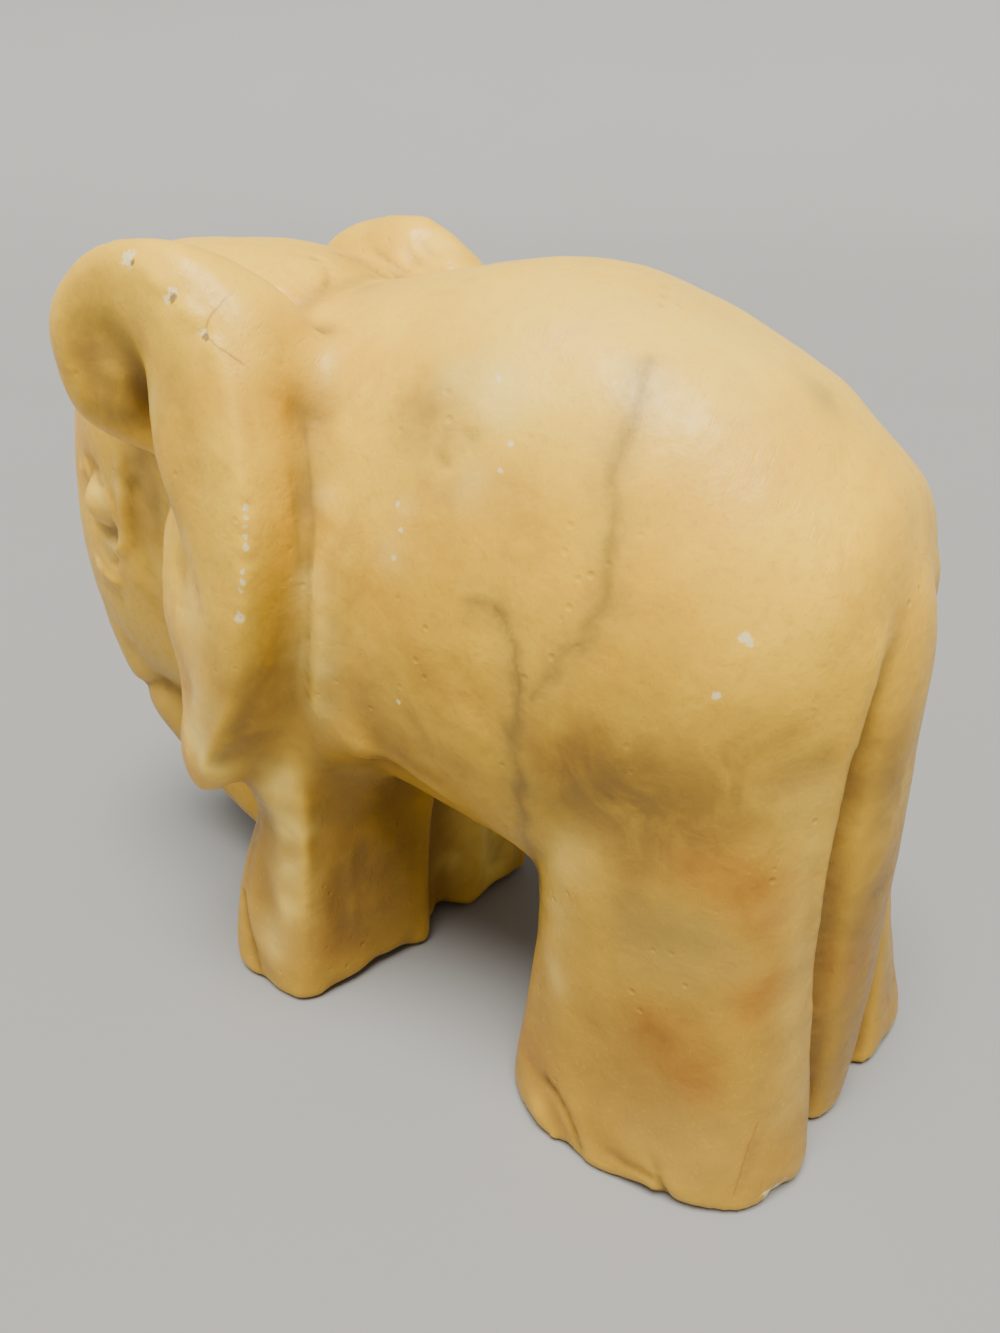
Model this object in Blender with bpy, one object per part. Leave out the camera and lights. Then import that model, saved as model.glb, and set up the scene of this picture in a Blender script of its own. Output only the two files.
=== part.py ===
"""Alabaster elephant statuette, carved from one block of honey-yellow stone.

The elephant faces -Y and its left side is +X. The whole figure is one solid: barrel body, four
column legs with stone left between them, a tail band down to the ground, a domed head with two
standing ears, and a trunk that curls back to the front feet.

Places on the figure are written as (side, fore, up): towards its left, forward from the heel of
the left hind foot, and above the ground. They are counted in steps of the figure's height.
"""

import math

import bmesh
import bpy
import numpy as np
from mathutils import Vector
from mathutils.bvhtree import BVHTree

HEIGHT = 0.165  # ground to the tops of the ears, metres
STEPS_IN_HEIGHT = 165.0  # the carving is laid out in this many steps of its height
STEP = HEIGHT / STEPS_IN_HEIGHT

GRAIN = 1.2  # size of the voxels that fuse the masses, steps
MELT_PASSES = 8  # smoothing passes over the fused masses
POLISH_PASSES = 3  # smoothing passes after the carving
TRIANGLES = 8800  # faces kept in the finished solid
RING_SAMPLES = 5  # samples between two control points of an outline
LEVEL_SAMPLES = 5  # samples between two outlines of a mass

NODE = "elephant_statuette"


def clear_scene():
    """Remove every object of the start-up scene."""
    for item in list(bpy.data.objects):
        bpy.data.objects.remove(item, do_unlink=True)


def between(before, start, end, after, share):
    """Catmull-Rom blend from start to end, with the neighbours on both sides."""
    square = share * share
    cube = square * share
    return 0.5 * (
        2.0 * start
        + (end - before) * share
        + (2.0 * before - 5.0 * start + 4.0 * end - after) * square
        + (3.0 * start - before - 3.0 * end + after) * cube
    )


def closed_curve(points, samples):
    """Smooth closed curve through the points, as an array of samples per span."""
    points = np.asarray(points, dtype=float)
    count = len(points)
    out = []
    for index in range(count):
        four = [points[(index + shift) % count] for shift in (-1, 0, 1, 2)]
        for sample in range(samples):
            out.append(between(*four, sample / samples))
    return np.array(out)


def open_curve(points, samples):
    """Smooth open curve through the points, its ends included."""
    points = np.asarray(points, dtype=float)
    first = 2.0 * points[0] - points[1]
    last = 2.0 * points[-1] - points[-2]
    full = np.concatenate([[first], points, [last]])
    out = []
    for index in range(1, len(full) - 2):
        four = [full[index + shift] for shift in (-1, 0, 1, 2)]
        for sample in range(samples):
            out.append(between(*four, sample / samples))
    out.append(points[-1])
    return np.array(out)


def skin(name, rings):
    """Closed mesh object over a stack of rings that have the same number of points."""
    mesh_maker = bmesh.new()
    rows = []
    for ring in rings:
        rows.append([mesh_maker.verts.new(Vector(point) * STEP) for point in ring])
    count = len(rows[0])
    for low, high in zip(rows, rows[1:]):
        for index in range(count):
            after = (index + 1) % count
            mesh_maker.faces.new((low[index], low[after], high[after], high[index]))
    mesh_maker.faces.new(list(reversed(rows[0])))
    mesh_maker.faces.new(rows[-1])
    bmesh.ops.triangulate(mesh_maker, faces=[face for face in mesh_maker.faces if len(face.verts) > 4])
    bmesh.ops.recalc_face_normals(mesh_maker, faces=mesh_maker.faces)
    mesh = bpy.data.meshes.new(name)
    mesh_maker.to_mesh(mesh)
    mesh_maker.free()
    item = bpy.data.objects.new(name, mesh)
    bpy.context.collection.objects.link(item)
    return item


def placed(points):
    """(side, fore, up) to the script's X, Y and Z, still in steps."""
    points = np.asarray(points, dtype=float)
    return np.stack([points[:, 0], -points[:, 1], points[:, 2]], axis=1)


def stack_up(name, levels):
    """Mass over plan outlines: each level is (up, [(side, fore), ...])."""
    rings = []
    for up, outline in levels:
        flat = closed_curve(outline, RING_SAMPLES)
        rings.append(np.column_stack([flat, np.full(len(flat), up)]))
    rings = open_curve(rings, LEVEL_SAMPLES)
    return skin(name, [placed(ring) for ring in rings])


def cross_section(half_width, low, high, squareness, points=40):
    """Upright superellipse as (side, up), widest a little below its middle."""
    middle = low + 0.47 * (high - low)
    ring = []
    for index in range(points):
        angle = 2.0 * math.pi * index / points
        cosine, sine = math.cos(angle), math.sin(angle)
        side = math.copysign(abs(cosine) ** (2.0 / squareness), cosine) * half_width
        reach = high - middle if sine > 0.0 else middle - low
        up = middle + math.copysign(abs(sine) ** (2.0 / squareness), sine) * reach
        ring.append((side, up))
    return np.array(ring)


def stack_fore(name, stations):
    """Mass over upright sections: each station is (fore, half width, low, high, squareness)."""
    rings = []
    for fore, half_width, low, high, squareness in stations:
        flat = cross_section(half_width, low, high, squareness)
        rings.append(np.column_stack([flat[:, 0], np.full(len(flat), fore), flat[:, 1]]))
    rings = open_curve(rings, LEVEL_SAMPLES)
    return skin(name, [placed(ring) for ring in rings])


def sweep(name, path, points=28):
    """Round mass along a path: each stop is (side, fore, up, half width, half depth)."""
    path = open_curve(path, LEVEL_SAMPLES)
    centres = path[:, :3]
    along = np.gradient(centres, axis=0)
    along /= np.linalg.norm(along, axis=1)[:, None]
    rings = []
    for centre, heading, (half_width, half_depth) in zip(centres, along, path[:, 3:]):
        across = np.array([1.0, 0.0, 0.0])
        across = across - heading * across.dot(heading)
        across /= np.linalg.norm(across)
        deep = np.cross(heading, across)
        ring = []
        for index in range(points):
            angle = 2.0 * math.pi * index / points
            sideways = across * half_width * math.cos(angle)
            ring.append(centre + sideways + deep * half_depth * math.sin(angle))
        rings.append(placed(ring))
    return skin(name, rings)


def mirrored(levels):
    """The same plan outlines for the other side of the figure."""
    return [(up, [(-side, fore) for side, fore in outline]) for up, outline in levels]


def shifted(levels, fore_shift, fades_at):
    """Plan outlines moved forward by fore_shift at the ground, fading out at the level fades_at."""
    moved = []
    for up, outline in levels:
        shift = fore_shift * max(0.0, 1.0 - max(up, 0.0) / fades_at)
        moved.append((up, [(side, fore + shift) for side, fore in outline]))
    return moved


def body():
    """Barrel from the rump to the chest: high over the hips, belly rising forward."""
    stations = [
        (-6.5, 11.0, 107.0, 114.5, 2.0),
        (-5.0, 19.5, 103.0, 122.0, 2.1),
        (-1.5, 27.0, 95.0, 130.5, 2.2),
        (6.0, 33.0, 72.0, 138.0, 2.3),
        (17.0, 37.5, 49.0, 146.8, 2.4),
        (33.0, 39.5, 44.0, 155.0, 2.4),
        (50.0, 40.0, 45.0, 160.6, 2.4),
        (66.0, 40.0, 49.0, 161.3, 2.4),
        (84.0, 39.0, 53.0, 159.0, 2.4),
        (100.0, 37.6, 56.5, 155.8, 2.4),
        (118.0, 33.0, 60.0, 155.0, 2.3),
        (132.0, 24.0, 68.0, 152.0, 2.2),
    ]
    return stack_fore("mass_body", stations)


def shoulders():
    """Upright corners where the flanks end behind the ears, their lower edges over the front legs."""
    left = [
        (68.0, [(20, 82), (32, 83), (35.5, 89), (35, 95), (29, 99), (20, 97)]),
        (74.0, [(20, 80), (34.5, 81), (38.2, 88), (38, 97), (30, 101), (20, 98)]),
        (84.0, [(20, 80), (36, 81), (38.6, 87), (38.5, 96), (30, 100), (20, 98)]),
        (98.0, [(20, 79), (37, 80), (39.2, 85), (39.2, 93), (31, 98), (20, 97)]),
        (114.0, [(20, 79), (37, 80), (39, 84), (39, 91), (31, 96), (20, 96)]),
        (126.0, [(20, 80), (34, 81), (37, 84), (37, 89), (30, 93), (20, 94)]),
    ]
    return [stack_up("mass_left_shoulder", left), stack_up("mass_right_shoulder", mirrored(left))]


def hind_legs():
    """Two heavy hind columns with flared feet; the right foot stands a little further back."""
    left = [
        (-4.0, [(8, 2), (21, -7), (36, -1), (42, 13), (42, 32), (38, 45), (28, 54), (10, 51), (5, 25)]),
        (5.0, [(8, 2), (21, -7), (36, -1), (42, 13), (42, 32), (38, 45), (28, 54), (10, 51), (5, 25)]),
        (16.0, [(8, 2), (20.5, -5.5), (34.5, 0.5), (39.5, 13), (40, 31),
                (36, 44), (27, 52.5), (10, 49), (5, 25)]),
        (33.0, [(8, 2), (19.5, -4), (33, 2), (37, 13), (38, 29), (35, 42), (26, 51), (10, 47), (5, 25)]),
        (50.0, [(8, 3), (19, -3), (32, 3), (37, 14), (37.5, 28), (34, 41), (25, 50), (10, 46), (5, 25)]),
        (66.0, [(9, 3), (19, -3), (31, 3), (38, 15), (38.5, 29), (35, 43), (25, 52), (10, 49), (5, 25)]),
        (84.0, [(9, 3), (19, -4), (30, 2.5), (37.5, 15), (39, 30), (36, 46), (25, 55), (10, 52), (5, 25)]),
        (100.0, [(9, 1), (18.5, -6), (29, 1), (36.5, 15), (37, 30), (34, 45), (24, 53), (10, 50), (5, 25)]),
        (112.0, [(8, 0), (17.5, -6.5), (27, 0), (34, 14), (35, 28), (31, 43), (22, 50), (10, 47), (5, 25)]),
        (121.0, [(7, 3), (14, -1), (22, 4), (28, 15), (29, 28), (25, 40), (17, 45), (10, 43), (5, 25)]),
    ]
    right = []
    for up, outline in shifted(mirrored(left), -9.0, 90.0):
        flatter = list(outline)
        flatter[1] = (outline[1][0], outline[1][1] + 4.0 * max(0.0, 1.0 - max(up, 0.0) / 60.0))
        right.append((up, flatter))
    return [stack_up("mass_left_hind", left), stack_up("mass_right_hind", right)]


def front_legs():
    """Front columns with slanted rear faces and toes that step forward."""
    left = [
        (-4.0, [(2, 94), (19, 98), (34, 103), (38, 109), (37, 118),
                (34, 128), (20, 131.5), (6, 128), (2, 110)]),
        (6.0, [(2, 94), (19, 98), (34, 103), (38, 109), (37, 118),
               (34, 129), (20, 132.5), (6, 128), (2, 110)]),
        (15.0, [(2, 94), (19, 97.5), (34, 102.5), (37.5, 108), (37, 116),
                (33, 128.5), (20, 132), (6, 126), (2, 110)]),
        (32.0, [(2, 93), (19, 96.5), (33.5, 101), (37, 106), (36.5, 112),
                (32.5, 124), (20, 127), (6, 122), (2, 107)]),
        (46.0, [(2, 91), (19, 94), (33.5, 98.5), (37, 104), (37, 110),
                (32, 119.5), (20, 123), (6, 121), (2, 105)]),
        (58.0, [(2, 89), (19, 91), (33.5, 96), (38.5, 103), (39.5, 112),
                (34, 121), (20, 125), (6, 123), (2, 105)]),
        (72.0, [(2, 86), (19, 87), (32, 94.5), (38.5, 104), (39.5, 112),
                (33, 122), (20, 127), (6, 127), (2, 105)]),
        (90.0, [(2, 85), (18, 86), (31, 94), (36, 103), (37, 110),
                (31, 120), (18, 128), (6, 129), (2, 105)]),
        (102.0, [(2, 88), (18, 90), (28, 97), (32, 104), (33, 110),
                 (28, 117), (16, 124), (6, 125), (2, 105)]),
    ]
    rear_face_moves = [(-10.5, 4.0), (-5.0, -3.0), (-3.0, -9.5), (-2.0, -3.0)]
    right = []
    for up, outline in shifted(mirrored(left), -4.5, 130.0):
        square = min(1.0, max(0.0, (84.0 - up) / 30.0))
        squarer = list(outline)
        for index, (side_move, fore_move) in enumerate(rear_face_moves):
            side, fore = outline[index]
            squarer[index] = (side + side_move * square, fore + fore_move * square)
        right.append((up, squarer))
    return [stack_up("mass_left_front", left), stack_up("mass_right_front", right)]


def webs():
    """Stone left standing between the legs, set in from their faces."""
    front = [
        (-4.0, [(9, 100), (9, 126), (-9, 126), (-12, 100)]),
        (30.0, [(9, 100), (9, 121), (-9, 121), (-12, 100)]),
        (75.0, [(10, 97), (10, 124), (-10, 124), (-12, 97)]),
    ]
    hind = [
        (-4.0, [(12, 4), (12, 45), (-12, 45), (-12, 4)]),
        (40.0, [(12, 4), (12, 43), (-12, 43), (-12, 4)]),
        (75.0, [(13, 3), (13, 46), (-13, 46), (-13, 3)]),
    ]
    return [stack_up("mass_front_web", front), stack_up("mass_hind_web", hind)]


def tail():
    """Tail: a smooth band that leaves the rump and runs down to the ground."""
    path = [
        (0.0, 6.0, 133.0, 6.0, 4.0),
        (0.0, 1.5, 122.0, 11.0, 6.0),
        (0.5, -2.0, 108.0, 15.0, 7.5),
        (0.5, -2.2, 90.0, 15.8, 8.0),
        (0.5, -2.2, 70.0, 15.8, 8.0),
        (0.5, -2.2, 50.0, 15.0, 7.5),
        (0.5, -2.4, 25.0, 13.0, 7.0),
        (0.5, -2.0, 8.0, 10.5, 6.5),
        (0.5, -1.5, -4.0, 10.0, 6.5),
    ]
    return sweep("mass_tail", path)


def head():
    """Domed head, narrowing to the root of the trunk."""
    levels = [
        (53.0, [(4, 172), (6, 165), (7, 154), (5, 144), (-5, 144), (-7, 154), (-6, 165), (-4, 172)]),
        (57.0, [(8, 177), (12, 166), (14, 151), (11, 136), (-11, 136), (-14, 151), (-12, 166), (-8, 177)]),
        (65.0, [(10, 182), (16, 169), (18, 150), (15, 130), (-15, 130),
                (-18, 150), (-16, 169), (-10, 182)]),
        (80.0, [(11, 188.5), (19, 175.5), (22, 155), (20, 125), (-20, 125),
                (-22, 155), (-19, 175.5), (-11, 188.5)]),
        (100.0, [(12, 188.5), (23, 173), (26, 152), (26, 118), (-26, 118),
                 (-26, 152), (-23, 173), (-12, 188.5)]),
        (120.0, [(13, 183), (25, 168.5), (29, 150), (29, 112), (-29, 112),
                 (-29, 150), (-25, 168.5), (-13, 183)]),
        (138.0, [(13, 177), (25, 164.5), (29, 148), (28, 110), (-28, 110),
                 (-29, 148), (-25, 164.5), (-13, 177)]),
        (151.0, [(11, 170), (21, 161), (25, 146), (22, 112), (-22, 112),
                 (-25, 146), (-21, 161), (-11, 170)]),
        (158.5, [(7, 161), (13, 156), (16, 142), (11, 114), (-11, 114), (-16, 142), (-13, 156), (-7, 161)]),
        (162.0, [(3, 153), (5, 150), (6, 140), (4, 127), (-4, 127), (-6, 140), (-5, 150), (-3, 153)]),
    ]
    return stack_up("mass_head", levels)


def trunk():
    """Trunk: from the face down and back, its tip against the front feet."""
    path = [
        (0.0, 166.0, 112.0, 20.0, 18.0),
        (0.0, 175.5, 94.0, 18.0, 17.0),
        (0.0, 178.0, 76.0, 16.0, 15.5),
        (0.0, 174.5, 59.0, 14.0, 13.5),
        (0.0, 165.0, 44.0, 12.5, 12.0),
        (0.0, 153.0, 33.0, 11.5, 10.5),
        (0.0, 140.0, 24.0, 10.5, 9.5),
        (0.0, 128.0, 17.0, 9.5, 9.0),
        (0.0, 116.0, 14.0, 8.0, 8.0),
    ]
    return sweep("mass_trunk", path)


def throat():
    """Thin wall of stone left between the trunk, the chest and the front feet."""
    levels = [
        (10.0, [(4, 114), (4, 134), (-4, 134), (-4, 114)]),
        (24.0, [(4, 114), (4, 146), (-4, 146), (-4, 114)]),
        (40.0, [(5, 112), (5, 159), (-5, 159), (-5, 112)]),
        (60.0, [(7, 112), (7, 168), (-7, 168), (-7, 112)]),
        (95.0, [(16, 110), (14, 172), (-14, 172), (-16, 110)]),
    ]
    return stack_up("mass_throat", levels)


def ears():
    """Standing ears: a rim flared from the shoulder, a forward lobe over the eye, and a hanging tip."""
    left = [
        (56.0, [(43, 119.5), (44, 119), (45, 119.5), (45.5, 120.5), (45.5, 121.5), (45, 123),
                (44.5, 124.5), (43.5, 125), (42.5, 124.5), (42, 123), (42, 121.5), (42.3, 120.5)]),
        (60.0, [(40, 114), (43, 114), (46, 116), (46.5, 118.5), (46.5, 121), (45.5, 124),
                (44.5, 127), (42.5, 128), (40, 127), (38, 124), (37, 120), (38, 116)]),
        (66.0, [(37, 108), (43, 108.5), (47, 111), (47.5, 114.5), (47, 119), (45.5, 124),
                (43.5, 128), (41, 129.5), (37, 129), (34, 125), (31, 118), (33, 110)]),
        (78.0, [(37, 101.5), (44, 103), (49, 105.5), (49, 110.5), (47.5, 117), (45, 122),
                (42.5, 126), (39.5, 128), (35, 128), (30, 125), (24, 115), (29, 103)]),
        (92.0, [(37, 97), (44.5, 97.5), (50.5, 100), (50.5, 106), (48.5, 113), (45.5, 120),
                (42.5, 127.5), (39, 132.5), (34, 133), (28, 129), (20, 112), (28, 97)]),
        (103.0, [(37, 94.5), (45, 94.5), (51.5, 96.5), (51, 104), (48.5, 110.5), (44.5, 116),
                 (41.5, 125), (38, 132.5), (33, 133.5), (26, 129), (19, 112), (28, 96)]),
        (112.0, [(37, 92.5), (45, 92.5), (51.5, 94.5), (51, 103), (49, 112), (43.5, 117.5),
                 (40, 124), (37, 131), (32, 132), (24, 128), (18, 112), (28, 95)]),
        (122.0, [(37, 92), (45, 92), (51, 94), (51, 104), (49, 113), (46, 118.5),
                 (39.5, 121.5), (36, 126), (32, 129), (23, 126), (18, 112), (28, 95)]),
        (127.0, [(36.5, 92), (44.5, 92.5), (50.5, 95), (50.5, 104), (49, 113), (46.5, 120),
                 (39, 122.5), (38.5, 131), (38, 139), (32, 140), (20, 116), (27, 95)]),
        (133.0, [(36, 92.5), (44, 93.5), (49.5, 97), (50, 106), (48.5, 114), (46.5, 120.5),
                 (38.5, 123.5), (40, 133), (43.5, 142.5), (37, 147), (21, 120), (26, 96)]),
        (144.0, [(34, 94.5), (42, 96.5), (46.5, 101), (48, 109), (47, 116), (45, 121),
                 (41, 126.5), (43, 136), (46, 144), (39, 149), (24, 124), (24, 98)]),
        (154.0, [(33, 99), (40, 101), (44, 106), (46, 112), (45.5, 118), (44.5, 124),
                 (44.5, 131), (45, 139), (44.5, 144.5), (38, 148), (27, 126), (26, 102)]),
        (161.0, [(34, 108), (39, 108), (42, 111), (44, 115), (44.5, 120), (44.5, 126),
                 (44, 132), (43, 138), (41, 141), (36, 139), (32, 124), (31, 110)]),
        (164.3, [(37, 115), (39, 114.5), (41, 115.5), (42, 118), (42.5, 121), (42.5, 125),
                 (42, 129), (41, 132), (39.5, 133), (38, 131), (36.5, 123), (36, 117)]),
        (165.2, [(39, 118), (39.6, 117.8), (40.2, 118.2), (40.6, 119.5), (40.8, 121), (40.8, 122.5),
                 (40.6, 124), (40.2, 125), (39.6, 125.3), (39, 124.8), (38.6, 122.5), (38.7, 119.5)]),
    ]
    right = [(up, [(side, 1.06 * fore - 4.4) for side, fore in outline]) for up, outline in mirrored(left)]
    return [stack_up("mass_left_ear", left), stack_up("mass_right_ear", right)]


def fuse(masses):
    """Join the masses and remesh them into one closed skin."""
    bpy.ops.object.select_all(action="DESELECT")
    for item in masses:
        item.select_set(True)
    bpy.context.view_layer.objects.active = masses[0]
    bpy.ops.object.join()
    block = bpy.context.view_layer.objects.active
    block.name = NODE
    remesh = block.modifiers.new("fuse", "REMESH")
    remesh.mode = "VOXEL"
    remesh.voxel_size = GRAIN * STEP
    melt = block.modifiers.new("melt", "SMOOTH")
    melt.factor = 0.5
    melt.iterations = MELT_PASSES
    for modifier in list(block.modifiers):
        bpy.ops.object.modifier_apply(modifier=modifier.name)
    return block


class Chisel:
    """Works a skin with strokes: each lowers or raises the stone along a path laid on the surface."""

    def __init__(self, block):
        mesh = block.data
        self.mesh = mesh
        self.tree = BVHTree.FromPolygons(
            [vertex.co for vertex in mesh.vertices],
            [tuple(face.vertices) for face in mesh.polygons],
        )
        self.places = np.array([vertex.co for vertex in mesh.vertices])
        self.normals = np.array([vertex.normal for vertex in mesh.vertices])
        self.moves = np.zeros(len(self.places))

    def stroke(self, path, width, depth, fade=0.3):
        """Lower the stone by depth (raise it where negative) within about width of the path.

        The stroke deepens over the first share of its path, given by fade, and is full after it.
        """
        curve = placed(open_curve(path, 8) if len(path) > 1 else path)
        strength = np.zeros(len(self.places))
        for index, point in enumerate(curve):
            on_skin = np.array(self.tree.find_nearest(Vector(point) * STEP)[0])
            distance = np.linalg.norm(self.places - on_skin, axis=1)
            share = 1.0 if len(curve) == 1 else min(1.0, 0.15 + index / (fade * len(curve)))
            strength = np.maximum(strength, share * np.exp(-((distance / (width * STEP)) ** 2)))
        self.moves -= depth * STEP * strength

    def both_sides(self, path, width, depth):
        """The same stroke on the left and on the right."""
        self.stroke(path, width, depth)
        self.stroke([(-side, fore, up) for side, fore, up in path], width, depth)

    def finish(self):
        """Move the skin by all the strokes together."""
        for vertex, normal, move in zip(self.mesh.vertices, self.normals, self.moves):
            vertex.co += Vector(normal) * move


def carve(block):
    """Creases, folds and swellings that show from a step away."""
    chisel = Chisel(block)
    tail_edge = [(16.5, -6, 109), (16.5, -4, 98), (16.5, -2, 84), (16, -1, 68), (15.5, -2, 46),
                 (14, -3, 24), (12, -5, 2)]
    chisel.both_sides(tail_edge, 2.0, 3.0)
    ear_root = [(31, 102, 156), (36, 95, 146), (38, 92, 128), (38, 94, 105), (38, 98, 88), (38, 99.5, 75)]
    chisel.both_sides(ear_root, 1.9, 1.4)
    chisel.both_sides([(44, 122, 138), (44, 120, 126), (43, 117, 114), (46, 111, 104)], 1.8, 1.3)
    chisel.both_sides([(42, 128, 141), (40, 127, 135), (39, 126, 130)], 5.0, 1.8)
    chisel.both_sides([(25, 167, 107)], 9.0, 3.0)
    chisel.both_sides([(25, 167, 107)], 5.5, -4.8)
    chisel.both_sides([(27, 158, 118), (27, 157, 104), (25, 158, 90)], 4.0, -1.2)
    fold = [(-12, 168, 56), (-8, 178, 52), (0, 184, 50), (8, 178, 52), (12, 168, 56)]
    chisel.stroke(fold, 2.4, 1.9)
    chisel.both_sides([(35, 50, 13), (40, 41, 9), (42, 33, 1)], 2.4, 1.3)
    chisel.both_sides([(42, 29, 10), (42, 23, 5), (42, 18, 1)], 2.4, 0.8)
    chisel.both_sides([(42, 20, 24)], 12.0, 1.3)
    chisel.both_sides([(38, 18, 74), (38, 32, 72), (36, 42, 70)], 10.0, 0.9)
    chisel.both_sides([(34, 124, 12), (36, 118, 6), (37, 113, 1)], 3.2, 0.8)
    chisel.both_sides([(30, 98, 60), (28, 98, 40), (26, 98, 14)], 6.0, 1.4)
    chisel.finish()
    polish = block.modifiers.new("polish", "SMOOTH")
    polish.factor = 0.5
    polish.iterations = POLISH_PASSES
    bpy.ops.object.modifier_apply(modifier=polish.name)


def stand_on_soles(block):
    """Cut the feet flat at ground level and close the soles."""
    mesh_maker = bmesh.new()
    mesh_maker.from_mesh(block.data)
    everything = mesh_maker.verts[:] + mesh_maker.edges[:] + mesh_maker.faces[:]
    cut = bmesh.ops.bisect_plane(
        mesh_maker,
        geom=everything,
        plane_co=(0.0, 0.0, 0.0),
        plane_no=(0.0, 0.0, 1.0),
        clear_inner=True,
    )
    rim = [item for item in cut["geom_cut"] if isinstance(item, bmesh.types.BMEdge)]
    bmesh.ops.triangle_fill(mesh_maker, edges=rim, use_beauty=True)
    bmesh.ops.recalc_face_normals(mesh_maker, faces=mesh_maker.faces)
    mesh_maker.to_mesh(block.data)
    mesh_maker.free()


def thin_out(block):
    """Reduce the skin to the facets that carry its shape."""
    triangulate = block.modifiers.new("triangulate", "TRIANGULATE")
    bpy.ops.object.modifier_apply(modifier=triangulate.name)
    reduce = block.modifiers.new("thin", "DECIMATE")
    reduce.ratio = min(1.0, TRIANGLES / len(block.data.polygons))
    bpy.ops.object.modifier_apply(modifier=reduce.name)


def settle(block):
    """Put the middle of the figure's plan over the origin, and mark where its heel went."""
    corners = [Vector(corner) for corner in block.bound_box]
    middle_x = 0.5 * (min(c.x for c in corners) + max(c.x for c in corners))
    middle_y = 0.5 * (min(c.y for c in corners) + max(c.y for c in corners))
    for vertex in block.data.vertices:
        vertex.co.x -= middle_x
        vertex.co.y -= middle_y
    heel = bpy.data.objects.new("left_heel_mark", None)
    heel.location = (-middle_x, -middle_y, 0.0)
    bpy.context.collection.objects.link(heel)


def alabaster():
    """Honey-yellow polished alabaster."""
    material = bpy.data.materials.new("honey_alabaster")
    material.use_nodes = True
    shader = material.node_tree.nodes["Principled BSDF"]
    shader.inputs["Base Color"].default_value = (0.60, 0.36, 0.11, 1.0)
    shader.inputs["Roughness"].default_value = 0.34
    shader.inputs["Metallic"].default_value = 0.0
    material.diffuse_color = (0.60, 0.36, 0.11, 1.0)
    return material


def main():
    """Model the statuette."""
    clear_scene()
    masses = [body(), *shoulders(), *hind_legs(), *front_legs(), *webs(), tail()]
    masses += [head(), trunk(), throat(), *ears()]
    block = fuse(masses)
    carve(block)
    stand_on_soles(block)
    thin_out(block)
    settle(block)
    block.data.materials.clear()
    block.data.materials.append(alabaster())
    block.data.shade_smooth()


main()
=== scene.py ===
"""Alabaster elephant statuette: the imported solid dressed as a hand-carved, waxed block of honey stone.

The one solid is copied, rounded off, and worked again with the carver's finer cuts: the folds of the
ears, the eye and its lids, the facets of the legs, the toenails, the chips and the bruises. Places
are written as (side, fore, up): steps towards its left, forward from its left hind heel, and up.
"""

from __future__ import annotations

import logging
import math
from dataclasses import dataclass, field
from enum import Enum

import bpy
import numpy as np
from mathutils import Matrix, Vector, noise
from mathutils.bvhtree import BVHTree

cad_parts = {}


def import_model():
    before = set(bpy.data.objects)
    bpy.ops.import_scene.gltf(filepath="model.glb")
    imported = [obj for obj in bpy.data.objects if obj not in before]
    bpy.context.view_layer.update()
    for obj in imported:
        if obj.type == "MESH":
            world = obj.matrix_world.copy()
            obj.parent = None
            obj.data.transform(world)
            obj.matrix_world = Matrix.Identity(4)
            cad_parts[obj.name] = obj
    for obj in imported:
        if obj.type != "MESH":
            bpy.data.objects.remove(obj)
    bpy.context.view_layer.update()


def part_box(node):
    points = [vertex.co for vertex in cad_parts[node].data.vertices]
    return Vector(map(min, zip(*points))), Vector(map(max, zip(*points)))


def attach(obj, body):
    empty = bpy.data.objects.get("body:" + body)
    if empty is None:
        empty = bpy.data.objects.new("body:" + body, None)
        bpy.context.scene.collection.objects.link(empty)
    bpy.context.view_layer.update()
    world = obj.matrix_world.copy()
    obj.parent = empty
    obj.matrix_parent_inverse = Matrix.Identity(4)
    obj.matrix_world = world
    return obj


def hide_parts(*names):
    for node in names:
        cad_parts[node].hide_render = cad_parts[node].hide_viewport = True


LOG = logging.getLogger("elephant")
NODE = "elephant_statuette"
Place = tuple[float, float, float]
Path = list[Place]
Colour = tuple[float, float, float, float]
Spot = tuple[float, float, float, float, float]
Mark = tuple[float, float, float, float]
Melt = tuple[float, float, float, float, int]
SIDES = (1.0, -1.0)
STEPS_TALL = 165.0
HEEL_FORE = 90.77
STROKE_TIP = 0.05
KEEN_FALL = 1.6
GOLDEN_TURN = 2.39996
PHOTO_HEIGHT_PIXELS = 1333.0
FOCAL_PIXELS = 1100.0
FILM = 36.0


class Cut(Enum):
    """Cross-sections that a tool leaves in the stone."""

    GOUGE = "gouge"
    KEEN = "keen"


class StainAndPaintedLight(Enum):
    """Rust and ash that lie in the stone, painted shade (with a brown bruise) and painted light (with milky
    flecks), one channel of the attribute each.
    """

    RUST = 0
    PAINTED_SHADE_AND_BRUISE = 1
    ASH = 2
    PAINTED_LIGHT_AND_MILK = 3


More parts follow.
